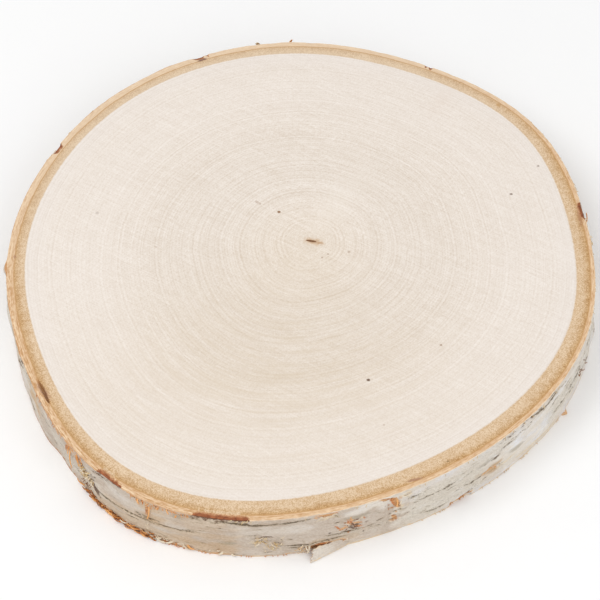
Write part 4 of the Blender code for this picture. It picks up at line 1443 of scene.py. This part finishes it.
    def fine_relief(self, bearing: np.ndarray, height: np.ndarray, gaps: dict[Tint, np.ndarray],
                    rough: np.ndarray) -> np.ndarray:
        """Grooves, lips, cracks and flakes of the wall, where its marks and its rough coat say.

        Args:
            bearing: Bearings in degrees.
            height: Heights above the underside.
            gaps: Distances from the marks.
            rough: How strongly the rough coat shows.

        Returns:
            How far they move the wall out.
        """
        groove = 0.32 * MM * smooth_step(0.5, -0.3, gaps[LINE])
        groove = groove + 0.3 * MM * smooth_step(0.5, -0.4, gaps[DARK])
        lip = 0.22 * MM * smooth_step(1.1, 0.5, gaps[PEEL]) * smooth_step(-0.1, 0.5, gaps[PEEL])
        cracks = smooth_step(0.02, 0.4, TRUNK.noise(bearing, height, 2.6 * MM, 0.8 * MM))
        flakes = np.maximum(0.0, 0.35 * MM * TRUNK.noise(bearing, height, 1.1 * MM, 0.9 * MM))
        flakes = flakes * smooth_step(0.4, -0.4, np.minimum(gaps[ORANGE], gaps[PEEL]))
        return lip - groove + flakes - 0.4 * MM * rough * cracks

    def skin(self) -> bpy.types.Object:
        """The bark ring above, the wall and the cork ring below, as one band that closes on itself."""
        bearings = np.linspace(0.0, 360.0, self.columns + 1)
        missing = self.break_depth(bearings)
        top = self.wall_relief(bearings, np.full_like(bearings, TRUNK.thickness))
        upper = self.upper_rings(bearings, top, missing)
        rings = upper + self.wall_rings(bearings, upper[-1][1], missing)
        out, height = (np.stack(parts) for parts in zip(*rings))
        bearing = np.broadcast_to(bearings, out.shape)
        rim = len(upper) - 1
        foot = rim + self.wall_rows
        gaps = self.gaps(bearing, height)
        coats = self.coats(bearing, height)
        on_wall = np.zeros_like(out)
        on_wall[rim + 1:foot] = 1.0
        out = out + on_wall * self.fine_relief(bearing, height, gaps, coats[Coat.ROUGH])
        points = TRUNK.place(bearing, height, out)
        skin = sheet_grid("birch_slice_body", self.columns, len(rings) - 1, points)
        for kind, values in (*gaps.items(), *coats.items()):
            carry(skin, kind.value, values)
        torn = np.zeros_like(out)
        torn[rim:] = 2.0 * missing
        absent = np.zeros_like(out)
        absent[2:rim + 1 - len(self.cork_steps)] = smooth_step(0.8, 1.0, missing)
        for ring, step in zip(range(rim, 0, -1), reversed(self.cork_steps)):
            ragged = 0.5 * TRUNK.noise(bearings, 3.0 * step * MM, 2.0 * MM, 1.0 * MM)
            gone = smooth_step(-0.14, 0.14, missing * 1.15 + ragged - 0.4 * step)
            absent[ring] = gone * smooth_step(0.05, 0.25, missing)
            torn[ring] = absent[ring] * (2.0 - 0.72 * step)
        carry(skin, "absent", absent)
        carry(skin, "broken", torn)
        zones = np.zeros((len(rings) - 1, self.columns), dtype=np.int32)
        zones[rim:foot] = 1
        for material in (self.finishes.sawn, self.finishes.bark, self.finishes.loose["pith"]):
            skin.data.materials.append(material)
        skin.data.polygons.foreach_set("material_index", zones.reshape(-1))

        def close() -> None:
            """Welds the first column to the last."""
            bpy.ops.mesh.select_all(action="SELECT")
            bpy.ops.mesh.remove_doubles(threshold=1e-7)

        edit(skin, close)
        return skin

    def pith_cup(self) -> bpy.types.Object:
        """The slit at the pith, as an open cup that narrows downwards."""
        half_length, half_width, depth, turn = self.pith
        centre = (0.0, 0.0, TRUNK.thickness)
        make_active()
        bpy.ops.mesh.primitive_circle_add(vertices=40, radius=1.0, fill_type="NGON", location=centre)
        cup = bpy.context.object
        cup.data.materials.append(self.finishes.loose["pith"])
        cup.scale = (half_length, half_width, 1.0)
        cup.rotation_euler = (0.0, 0.0, math.radians(turn))
        make_active(cup)
        bpy.ops.object.transform_apply(location=True, rotation=True, scale=True)
        for vertex in cup.data.vertices:
            sway = 1.0 + 0.18 * noise.noise(vertex.co * 900.0)
            vertex.co.x *= sway
            vertex.co.y *= sway

        def sink() -> None:
            """Draws the floor of the cup down in steps, and opens its top."""
            bpy.ops.mesh.select_all(action="SELECT")
            for narrow in (0.95, 0.62, 0.4):
                bpy.ops.mesh.extrude_region_move(TRANSFORM_OT_translate={"value": (0.0, 0.0, -depth / 3.0)})
                bpy.ops.transform.resize(value=(narrow, narrow, 1.0), center_override=centre)
            select_vertices(cup, lambda place: place.z > TRUNK.thickness - 1e-6)
            bpy.ops.mesh.delete(type="ONLY_FACE")

        edit(cup, sink)
        return cup

    def build(self) -> bpy.types.Object:
        """Makes the whole closed mesh."""
        body = joined("birch_slice_body", (self.skin(), self.pith_cup()))

        def close() -> None:
            """Fills the wood of both faces."""
            bpy.ops.mesh.select_non_manifold(extend=False)
            select_vertices(body, lambda place: place.z > 0.5 * TRUNK.thickness, narrow=True)
            bpy.ops.mesh.fill(use_beauty=True)
            bpy.ops.mesh.select_all(action="DESELECT")
            bpy.ops.mesh.select_non_manifold(extend=False)
            bpy.ops.mesh.edge_face_add()
            bpy.ops.mesh.select_all(action="SELECT")
            bpy.ops.mesh.normals_make_consistent(inside=False)

        edit(body, close)
        return hand_over(body, 38.0)


# Loose cork


@dataclass(frozen=True)
class Tuft:
    """Fibres of one kind that stand out from a stretch of the wall."""

    first: float
    last: float
    low: float
    high: float
    count: int
    headings: tuple[float, float]
    lengths: tuple[float, float]
    radius: float
    stand_off: float
    curl: float
    finish: str


TUFTS = (
    (213, 224.5, 23.8, 24.7, 9, (245, 300), (0.8, 2.2), 0.2, 0.4, 60, "tan"),
    (225, 227, 23, 24.7, 5, (262, 278), (3, 8), 0.22, 0.5, 30, "tan"),
    (227.2, 229.6, 20, 24.7, 5, (285, 305), (2, 5), 0.22, 0.6, 50, "tan"),
    (228.8, 231.6, 13.4, 20, 22, (180, 360), (1.6, 3.4), 0.2, 1.2, 240, "fibre"),
    (227.5, 230.5, 4, 10, 8, (200, 300), (1, 2.6), 0.22, 0.8, 80, "fringe"),
    (229.5, 243.5, 0.8, 2.8, 22, (165, 225), (1, 2.8), 0.26, 0.8, 60, "fringe"),
    (229.5, 243.5, 0.8, 2.8, 22, (315, 375), (1, 2.8), 0.26, 0.8, 60, "fringe"),
    (229.5, 243.5, 0.6, 2.2, 12, (165, 345), (0.8, 2), 0.22, 0.8, 80, "tan"),
    (242.2, 243.2, 17, 24.4, 4, (264, 276), (3, 6), 0.2, 0.4, 20, "tan"),
    (239, 249, 23.4, 24.7, 18, (240, 320), (0.8, 2.4), 0.2, 0.5, 120, "tan"),
    (243.6, 249, 0.5, 1.6, 16, (200, 340), (0.8, 2), 0.22, 0.6, 60, "tan"),
    (249, 266, 0.4, 1, 16, (200, 340), (0.6, 1.6), 0.2, 0.4, 60, "tan"),
    (259.4, 261.4, 9, 12.4, 12, (0, 360), (1.6, 3.8), 0.2, 0.8, 150, "fibre"),
    (261.4, 263.4, 5.5, 9, 12, (0, 360), (1.4, 3), 0.2, 0.8, 200, "fibre"),
    (266.2, 268.2, 1, 6, 10, (150, 300), (1.2, 3), 0.22, 0.7, 90, "paper"),
    (268.6, 272.5, 4.6, 6.4, 8, (200, 340), (1.2, 2.6), 0.22, 0.8, 60, "paper"),
    (273.8, 276.6, 9.5, 17, 7, (0, 360), (0.8, 1.6), 0.18, 0.4, 80, "fringe"),
    (281, 283.2, 6.5, 22, 5, (80, 100), (1.2, 3), 0.22, 0.4, 40, "tan"),
    (292.8, 296, 0.6, 1.8, 6, (225, 315), (0.8, 1.8), 0.22, 0.4, 60, "tan"),
    (329, 333, 6, 12.5, 8, (0, 360), (0.8, 1.8), 0.24, 0.5, 60, "fringe"),
    (284, 322, 0.4, 1, 20, (200, 340), (0.6, 1.6), 0.2, 0.4, 60, "paper"),
    (255.6, 259.4, 23.6, 24.6, 7, (150, 260), (0.8, 2), 0.18, 0.35, 60, "fibre"),
    (245.4, 249.6, 23.4, 24.6, 6, (280, 380), (0.8, 2), 0.18, 0.35, 60, "tan"),
    (262, 350, 23.9, 24.7, 30, (230, 310), (0.6, 1.5), 0.18, 0.3, 60, "fibre"),
    (352, 538, 23.6, 24.7, 70, (200, 340), (0.8, 2.4), 0.22, 0.5, 60, "fibre"),
    (352, 538, 0.6, 2.2, 46, (200, 340), (0.8, 2.4), 0.24, 0.8, 60, "fringe"),
)


@dataclass
class Fibres:
    """Fine fibres of cork that stand out of the wall, each a copy of one tapered strand."""

    relief: Relief
    finishes: Finishes
    seed: int = 19
    rings: int = 6
    root: float = 0.5 * MM
    taper: float = 0.6

    def strand(self) -> bpy.types.Object:
        """One strand as it is modelled: upright, three-sided, one unit thick and one unit a ring."""
        make_active()
        place = (0.0, 0.0, 0.0)
        bpy.ops.mesh.primitive_circle_add(vertices=3, radius=1.0, fill_type="NOTHING", location=place)
        strand = bpy.context.object
        strand.name = "strand"

        def raise_rings() -> None:
            """Draws the circle up into a tube and closes its ends."""
            bpy.ops.mesh.select_all(action="SELECT")
            for _ in range(self.rings):
                bpy.ops.mesh.extrude_region_move(TRANSFORM_OT_translate={"value": (0.0, 0.0, 1.0)})
            bpy.ops.mesh.select_all(action="SELECT")
            bpy.ops.mesh.fill_holes(sides=0)
            bpy.ops.mesh.normals_make_consistent(inside=False)

        edit(strand, raise_rings)
        return strand

    def bend(self, strand: bpy.types.Object, tuft: Tuft, rng: random.Random) -> None:
        """Lays an upright strand on the wall, with its root inside the cork.

        Args:
            strand: The copy to move.
            tuft: Where it may stand and how it runs.
            rng: Draws its place and its run.
        """
        bearing = rng.uniform(tuft.first, tuft.last)
        height = rng.uniform(tuft.low, tuft.high) * MM
        heading = math.radians(rng.uniform(*tuft.headings))
        step = rng.uniform(*tuft.lengths) * MM / self.rings
        curl = math.radians(tuft.curl) * rng.uniform(-1.0, 1.0)
        reach = tuft.stand_off * MM * rng.uniform(0.5, 1.0)
        share = np.linspace(0.0, 1.0, self.rings + 1)
        run = heading + curl * share
        aside = np.concatenate(([0.0], np.cumsum(np.cos(run[:-1])))) * step
        rise = np.concatenate(([0.0], np.cumsum(np.sin(run[:-1])))) * step
        bearings = bearing + np.degrees(aside / TRUNK.radius(np.array(bearing)))
        heights = np.clip(height + rise, 0.3 * MM, TRUNK.thickness - 0.35 * MM)
        base = self.relief.bark(bearings, heights)
        path = TRUNK.place(bearings, heights,
                           base - self.root + (self.root + reach) * np.sin(0.6 * math.pi * share))
        forward = np.gradient(path, axis=0)
        forward /= np.linalg.norm(forward, axis=1)[:, None]
        angle = np.radians(bearings)
        outward = np.stack((np.cos(angle), np.sin(angle), np.zeros_like(angle)), axis=-1)
        sideways = np.cross(forward, outward)
        sideways /= np.linalg.norm(sideways, axis=1)[:, None] + 1e-9
        upward = np.cross(sideways, forward)
        model = np.array([vertex.co[:] for vertex in strand.data.vertices])
        ring = np.rint(model[:, 2]).astype(int)
        thick = (tuft.radius * MM * (1.0 - self.taper * ring / self.rings))[:, None]
        around = model[:, :1] * sideways[ring] + model[:, 1:2] * upward[ring]
        move_vertices(strand, path[ring] + thick * around)

    def build(self) -> bpy.types.Object:
        """Makes all fibres as one piece."""
        rng = random.Random(self.seed)
        first = self.strand()
        made = []
        for tuft in (Tuft(*row) for row in TUFTS):
            for _ in range(tuft.count):
                copy = first.copy()
                copy.data = first.data.copy()
                copy.data.materials.append(self.finishes.loose[tuft.finish])
                bpy.context.scene.collection.objects.link(copy)
                self.bend(copy, tuft, rng)
                made.append(copy)
        bpy.data.objects.remove(first, do_unlink=True)
        return hand_over(joined("bark_fibres", made), 70.0)


@dataclass
class LooseCork:
    """Strips, curls, flakes and shavings of cork that lift off the wall.

    The tables hold a root, a heading, a length or a radius, a width, a stand-off or a turn, and a finish for
    each shred or shaving, and a first and a last bearing, a count, a length and a stand-off for the flakes.
    """

    relief: Relief
    finishes: Finishes
    seed: int = 7
    thickness: float = 0.26 * MM
    root: float = 1.2 * MM
    front: tuple[tuple[float | str, ...], ...] = (
        (226.2, 24.6, 271, 14, 0.8, 0.8, "tan"), (225.6, 24.6, 266, 7, 0.5, 0.5, "tan"),
        (227.6, 24.6, 301, 8, 0.7, 0.8, "tan"), (229.2, 19.4, 300, 3, 0.5, 1, "paper"),
        (229.8, 18.4, 200, 2.6, 0.5, 1.2, "paper"), (230.8, 16, 230, 3, 0.5, 1.2, "paper"),
        (231.2, 14.6, 330, 2.6, 0.5, 1.2, "paper"), (242.7, 24.4, 268, 11, 0.6, 0.45, "tan"),
        (242.4, 7, 80, 4, 0.5, 0.4, "paper"), (245.8, 24.4, 320, 2.4, 0.7, 0.8, "tan"),
        (241, 24.4, 300, 2.6, 0.8, 0.7, "tan"), (260.4, 11.5, 235, 3.8, 0.5, 0.8, "paper"),
        (261, 12.4, 170, 3.6, 0.5, 0.8, "paper"), (261.6, 9.5, 330, 3.8, 0.5, 1, "paper"),
        (263, 7, 60, 3, 0.5, 0.8, "paper"), (266.6, 4.4, 78, 2.6, 0.6, 0.7, "paper"),
        (267.2, 6, 300, 2.8, 0.6, 0.8, "paper"), (267.9, 5.4, 250, 3.4, 0.8, 1, "paper"),
        (282.5, 21.5, 272, 6, 0.9, 0.5, "tan"), (283.4, 20, 28, 5, 0.8, 0.5, "paper"),
        (283.2, 14, 84, 5, 0.7, 0.4, "paper"),
    )
    shavings: tuple[tuple[float | str, ...], ...] = (
        (229, 19, 300, 0.7, 0.55, 215, "paper"), (229.7, 17.2, 340, 0.9, 0.6, 240, "paper"),
        (230.5, 18.4, 20, 0.7, 0.5, 250, "fibre"), (230.9, 15.4, 250, 0.85, 0.55, 225, "paper"),
        (231.4, 14.2, 200, 0.7, 0.6, 230, "fibre"), (230.2, 14.6, 280, 0.6, 0.5, 240, "paper"),
        (247.6, 22.2, 255, 0.9, 0.4, 235, "tan"), (260.2, 10.4, 300, 0.8, 0.45, 230, "paper"),
        (262.2, 6.4, 240, 0.9, 0.4, 250, "fibre"), (266.4, 4.2, 240, 0.9, 0.5, 230, "paper"),
        (244.6, 23.9, 300, 0.7, 0.6, 220, "tan"),
    )
    flakes: tuple[tuple[float, float, int, float, float], ...] = (
        (228.6, 232.5, 12, 2.4, 0.8), (232.5, 236.2, 24, 2.6, 0.8), (236.2, 243.4, 56, 2.9, 1.15),
        (244.6, 248.8, 13, 2.0, 0.8), (252.5, 255.5, 4, 1.2, 0.5),
    )
    packed_fringes: int = 12
    flap_ends: tuple[float, float] = (275.0, 267.9)
    flap_heights: tuple[float, float] = (4.2, 4.8)
    flap_root: float = 1.1
    flap_off: tuple[float, float] = (5.15, 2.1)
    flap_thickness: float = 0.6 * MM
    clearance: float = 0.25 * MM
    top_clearance: float = 0.35 * MM

    def strip(self, name: str, path: np.ndarray, across: np.ndarray, widths: np.ndarray, finish: str,
              rng: random.Random) -> bpy.types.Object:
        """A thin closed strip with a ragged tip.

        Args:
            name: Name of the strip.
            path: Points along its middle.
            across: Its direction across at each point.
            widths: Its width at each point.
            finish: Name of its finish.
            rng: Draws the ragged tip.

        Returns:
            The strip.
        """
        steps, ways = len(path) - 1, 5
        lanes = np.linspace(-0.5, 0.5, ways + 1)
        points = path[:, None, :] + lanes[None, :, None] * widths[:, None, None] * across[:, None, :]
        ahead = path[-1] - path[-2]
        for lane in range(ways + 1):
            tooth = rng.uniform(-0.9, 1.1)
            points[-1, lane] += tooth * ahead
            points[-2, lane] += 0.45 * tooth * ahead
            points[:, lane] += across * widths[:, None] * rng.uniform(-0.04, 0.04)
        normal = np.cross(np.gradient(path, axis=0), across)
        normal /= np.linalg.norm(normal, axis=1)[:, None] + 1e-12
        depth = -0.16 * widths[:, None] * ((np.abs(lanes) * 2.0) ** 2)[None, :]
        sheet = sheet_grid(name, ways, steps, points + depth[:, :, None] * normal[:, None, :])
        thicken(sheet, self.thickness)
        carry(sheet, "coat", self.facing(sheet))
        sheet.data.materials.append(self.finishes.loose[finish])
        return sheet

    def facing(self, sheet: bpy.types.Object) -> np.ndarray:
        """1 at each vertex of the sheet that faces outwards, and 0 at the others."""
        normals = np.array([vertex.normal[:] for vertex in sheet.data.vertices])
        outward = np.array([vertex.co[:] for vertex in sheet.data.vertices])
        outward[:, 2] = 0.0
        outward /= np.linalg.norm(outward, axis=1)[:, None]
        return ((normals * outward).sum(axis=1) > 0.0).astype(np.float32)

    def shred(self, place: Shred, finish: str, rng: random.Random) -> bpy.types.Object:
        """A strip with its root in the wall, which lifts away and bends back at its tip."""
        run = math.radians(place.heading)
        half = 0.5 * place.width * abs(math.cos(run))
        room = self.clearance + half
        tip = min(max(place.height + place.length * math.sin(run), room), TRUNK.thickness - room)
        share = np.linspace(0.0, 1.0, 15)
        base = float(self.relief.bark(np.array([place.bearing]), np.array([place.height]))[0])
        out = base - self.root + (self.root + place.stand_off) * np.sin(0.62 * math.pi * share)
        sway = 0.12 * place.length * np.sin(math.pi * share) * rng.uniform(-1.0, 1.0)
        start = float(TRUNK.radius(np.array(place.bearing)))
        sideways = place.length * share * math.cos(run) - sway * math.sin(run)
        bearing = place.bearing + np.degrees(sideways / start)
        height = place.height + share * (tip - place.height) + sway * math.cos(run) * 0.5
        height = np.clip(height, room, TRUNK.thickness - self.top_clearance - half)
        angle = np.radians(bearing)
        tangent = np.stack((-np.sin(angle), np.cos(angle), np.zeros_like(angle)), axis=-1)
        across = np.array((0.0, 0.0, math.cos(run))) - tangent * math.sin(run)
        widths = place.width * (1.0 - 0.5 * share) * (1.0 + 0.1 * np.sin(9.0 * share + place.bearing))
        return self.strip("shred", TRUNK.place(bearing, height, out), across, widths, finish, rng)

    def front_shreds(self) -> bpy.types.Object:
        """The shreds and curls of the side that faces the viewer."""
        rng = random.Random(self.seed)
        made = []
        for bearing, height, heading, *sizes, finish in self.front:
            place = Shred(bearing, height * MM, heading, *(size * MM for size in sizes))
            made.append(self.shred(place, finish, rng))
        return joined("front_shreds", made)

    def shaving(self, bearing: float, height: float, heading: float, radius: float, width: float, turn: float,
                finish: str, rng: random.Random) -> bpy.types.Object:
        """A thin strip rolled into part of a ring, with one end in the wall.

        Args:
            bearing: Bearing of its root, in degrees.
            height: Height of its root, in millimetres.
            heading: Direction in which it rolls along the wall: 0 to the right, 90 up.
            radius: Radius of the ring, in millimetres.
            width: Width of the strip, in millimetres.
            turn: Degrees of the ring that it covers.
            finish: Name of its finish.
            rng: Draws its ragged end.

        Returns:
            The shaving.
        """
        run = math.radians(heading)
        spot = np.array([bearing]), np.array([height * MM])
        root = TRUNK.place(*spot, np.array([float(self.relief.bark(*spot)[0]) - 0.5 * MM]))[0]
        angle = math.radians(bearing)
        tangent = np.array((-math.sin(angle), math.cos(angle), 0.0))
        outward = np.array((math.cos(angle), math.sin(angle), 0.0))
        up = np.array((0.0, 0.0, 1.0))
        along = tangent * math.cos(run) + up * math.sin(run)
        across = up * math.cos(run) - tangent * math.sin(run)
        share = np.linspace(0.0, 1.0, 13)
        around = np.radians(np.linspace(0.0, turn, 13))
        size = radius * MM * (1.0 - 0.25 * share)
        path = root + along * (size * np.sin(around))[:, None]
        path = path + outward * (size * (1.0 - np.cos(around)))[:, None]
        path += across * (0.5 * radius * MM * share * rng.uniform(-1.0, 1.0))[:, None]
        widths = width * MM * (1.0 - 0.4 * share)
        return self.strip("shaving", path, np.broadcast_to(across, path.shape), widths, finish, rng)

    def curled_shavings(self) -> bpy.types.Object:
        """The rolled shavings that hang on the torn places."""
        rng = random.Random(self.seed + 4)
        return joined("curled_shavings", [self.shaving(*row, rng) for row in self.shavings])

    def foot_flakes(self) -> bpy.types.Object:
        """Short broad flakes that point outwards along the foot of the wall."""
        rng = random.Random(self.seed + 1)
        made = []
        for first, last, count, length, stand_off in self.flakes:
            for index in range(count):
                share = (index + 0.5) / count
                bearing = first + share * (last - first) + rng.uniform(-0.5, 0.5)
                size = 0.35 + 0.75 * rng.random() ** 2
                reach = stand_off * (0.55 + 0.45 * math.sin(math.pi * share)) * size
                heading = rng.choice((180.0, 360.0)) + rng.uniform(-30.0, 30.0)
                place = Shred(bearing, rng.uniform(0.5, 3.2) * MM, heading,
                              2.0 * length * size * MM, rng.uniform(0.7, 1.7) * size * MM, reach * MM)
                finish = "fringe" if rng.random() < 0.62 else "tan"
                finish = "paper" if rng.random() < 0.1 + 0.06 * (bearing - 240.0) else finish
                made.append(self.shred(place, finish, rng))
        return joined("foot_flakes", made)

    def back_shreds(self) -> bpy.types.Object:
        """Shreds on the side that faces away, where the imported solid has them."""
        drawn = self.relief.rng
        for _ in range(self.packed_fringes):
            for span in ((-0.2, 0.2), (0.0, 1.6), (225.0, 315.0)):
                drawn.uniform(*span)
        rng = random.Random(self.seed + 2)
        made = []
        for _ in range(20):
            bearing = drawn.uniform(*BACK)
            height = drawn.uniform(5.0, 21.0) * MM
            heading = drawn.uniform(0.0, 360.0)
            length = drawn.uniform(4.0, 9.0) * MM
            width = drawn.uniform(1.8, 3.0) * MM
            place = Shred(bearing, height, heading, length, width * 0.8, drawn.uniform(0.9, 1.7) * MM)
            made.append(self.shred(place, "paper" if rng.random() < 0.6 else "tan", rng))
        return joined("back_shreds", made)

    def flap(self) -> bpy.types.Object:
        """The sheet that leans out at the foot of the wall, flush at its hinge, ragged at its free edge."""
        rng = random.Random(self.seed + 3)
        hinge, free = self.flap_ends
        ways, steps = 14, 24
        share = np.linspace(0.0, 1.0, steps + 1)
        bearing = (hinge + share * (free - hinge))[:, None] + np.zeros(ways + 1)
        lanes = np.linspace(0.0, 1.0, ways + 1)[None, :]
        for lane in range(ways + 1):
            bearing[:, lane] -= (0.3 * rng.uniform(-1.0, 0.3) - 0.5 * lanes[0, lane]) * share ** 6
        head = self.flap_heights[0] + share * (self.flap_heights[1] - self.flap_heights[0])
        head = head + 0.28 * np.sin(17.0 * share + 0.6) + 0.22 * np.sin(41.0 * share)
        height = self.clearance + lanes * (head[:, None] * MM - self.clearance)
        off = (1.0 - lanes) * self.flap_off[0] + lanes * self.flap_off[1]
        run = share[:, None]
        out = run ** (1.0 + 0.8 * lanes) * (self.flap_root + off) - self.flap_root
        wave = 0.16 * np.sin(5.0 * lanes + 7.0 * run) * run * (1.0 - run ** 3)
        sheet = sheet_grid("bark_flap", ways, steps, TRUNK.place(bearing, height, (out + wave - 0.16) * MM))
        thicken(sheet, self.flap_thickness)
        places = np.array([vertex.co[:] for vertex in sheet.data.vertices])
        bearings = np.degrees(np.arctan2(places[:, 1], places[:, 0])) % 360.0
        rim = np.minimum((bearings - free) * 2.2, (self.flap_heights[1] - places[:, 2] / MM) * 1.1)
        carried = {tint.value: np.full(len(places), FAR) for tint in Tint}
        carried[CREAM.value] = np.clip(rim - 0.1, -1.0, FAR)
        carried[Coat.WHITE.value] = np.clip(0.14 * (hinge - 0.5 - bearings), 0.0, 0.6)
        carried["coat"] = self.facing(sheet)
        carried["inside"] = 1.0 - carried["coat"]
        for name, values in carried.items():
            carry(sheet, name, values)
        sheet.data.materials.append(self.finishes.bark)
        return sheet

    def build(self) -> list[bpy.types.Object]:
        """Makes all loose cork."""
        makers = (self.front_shreds, self.curled_shavings, self.foot_flakes, self.back_shreds, self.flap)
        return [hand_over(piece, 50.0) for piece in [make() for make in makers]]


# The stage


@dataclass
class Studio:
    """A pale floor, soft light and the camera."""

    target: tuple[float, float, float] = (-0.00564, -0.03253, 0.025)
    camera_place: tuple[float, float, float] = (-0.00564, -0.67531, 0.79104)
    elevation: float = 50.0
    roll: float = -2.0
    lens: float = 144.0
    floor_size: float = 6.0
    sky: float = 0.66

    def floor(self) -> None:
        """A wide sheet of matt white paper under the slice."""
        make_active()
        bpy.ops.mesh.primitive_plane_add(size=self.floor_size, location=(0.0, 0.0, 0.0))
        floor = bpy.context.object
        floor.name = "floor"
        graph = Paint("white_paper", 0.95, 0.0)
        paper = graph.mix(graph.noise(40.0) + 0.5, (0.97, 0.97, 0.97, 1.0), (0.99, 0.99, 0.99, 1.0))
        floor.data.materials.append(graph.done(paper))

    def light(self, name: str, place: tuple[float, float, float], size: float, power: float) -> None:
        """A square soft light that points at the slice."""
        data = bpy.data.lights.new(name, "AREA")
        data.shape = "SQUARE"
        data.size = size
        data.energy = power
        lamp = bpy.data.objects.new(name, data)
        bpy.context.scene.collection.objects.link(lamp)
        lamp.location = place
        lamp.rotation_euler = (Vector(place) - Vector(self.target)).to_track_quat("Z", "Y").to_euler()

    def camera(self) -> None:
        """The camera at the photograph's angle."""
        data = bpy.data.cameras.new("camera")
        data.lens = self.lens
        data.sensor_width = 36.0
        data.clip_start = 0.05
        data.clip_end = 20.0
        camera = bpy.data.objects.new("camera", data)
        bpy.context.scene.collection.objects.link(camera)
        raised, turn = math.radians(self.elevation), math.radians(self.roll)
        forward = Vector((0.0, math.cos(raised), -math.sin(raised)))
        right = Vector((1.0, 0.0, 0.0))
        up = right.cross(forward)
        across = math.cos(turn) * right + math.sin(turn) * up
        above = -math.sin(turn) * right + math.cos(turn) * up
        matrix = Matrix((across, above, -forward)).transposed().to_4x4()
        matrix.translation = Vector(self.camera_place)
        camera.matrix_world = matrix
        bpy.context.scene.camera = camera

    def build(self) -> None:
        """Sets the stage."""
        self.camera()
        self.floor()
        world = bpy.data.worlds.new("soft_sky")
        world.use_nodes = True
        background = world.node_tree.nodes["Background"]
        background.inputs["Color"].default_value = (1.0, 1.0, 1.0, 1.0)
        background.inputs["Strength"].default_value = self.sky
        bpy.context.scene.world = world
        self.light("key", (-0.9, -0.3, 1.6), 1.2, 11.0)
        self.light("fill", (0.7, -1.5, 1.1), 1.4, 9.0)
        bpy.context.scene.view_settings.view_transform = "Standard"


def main() -> None:
    """Builds the dressed slice and its stage."""
    Studio().build()
    relief = Relief()
    finishes = Finishes()
    rng = random.Random(MARK_SEED)
    strokes = [stroke for row in CLUSTERS for stroke in Cluster(*row).strokes(rng)]
    strokes += [Stroke(tint, *row) for tint, rows in FRONT_STROKES.items() for row in rows]
    strokes += back_strokes(relief)
    zones = [Zone(coat, *row) for coat, rows in FRONT_ZONES.items() for row in rows] + back_zones()
    SliceBody(relief, finishes, strokes=strokes, zones=zones).build()
    LooseCork(relief, finishes).build()
    Fibres(relief, finishes).build()


if __name__ == "__main__":
    main()
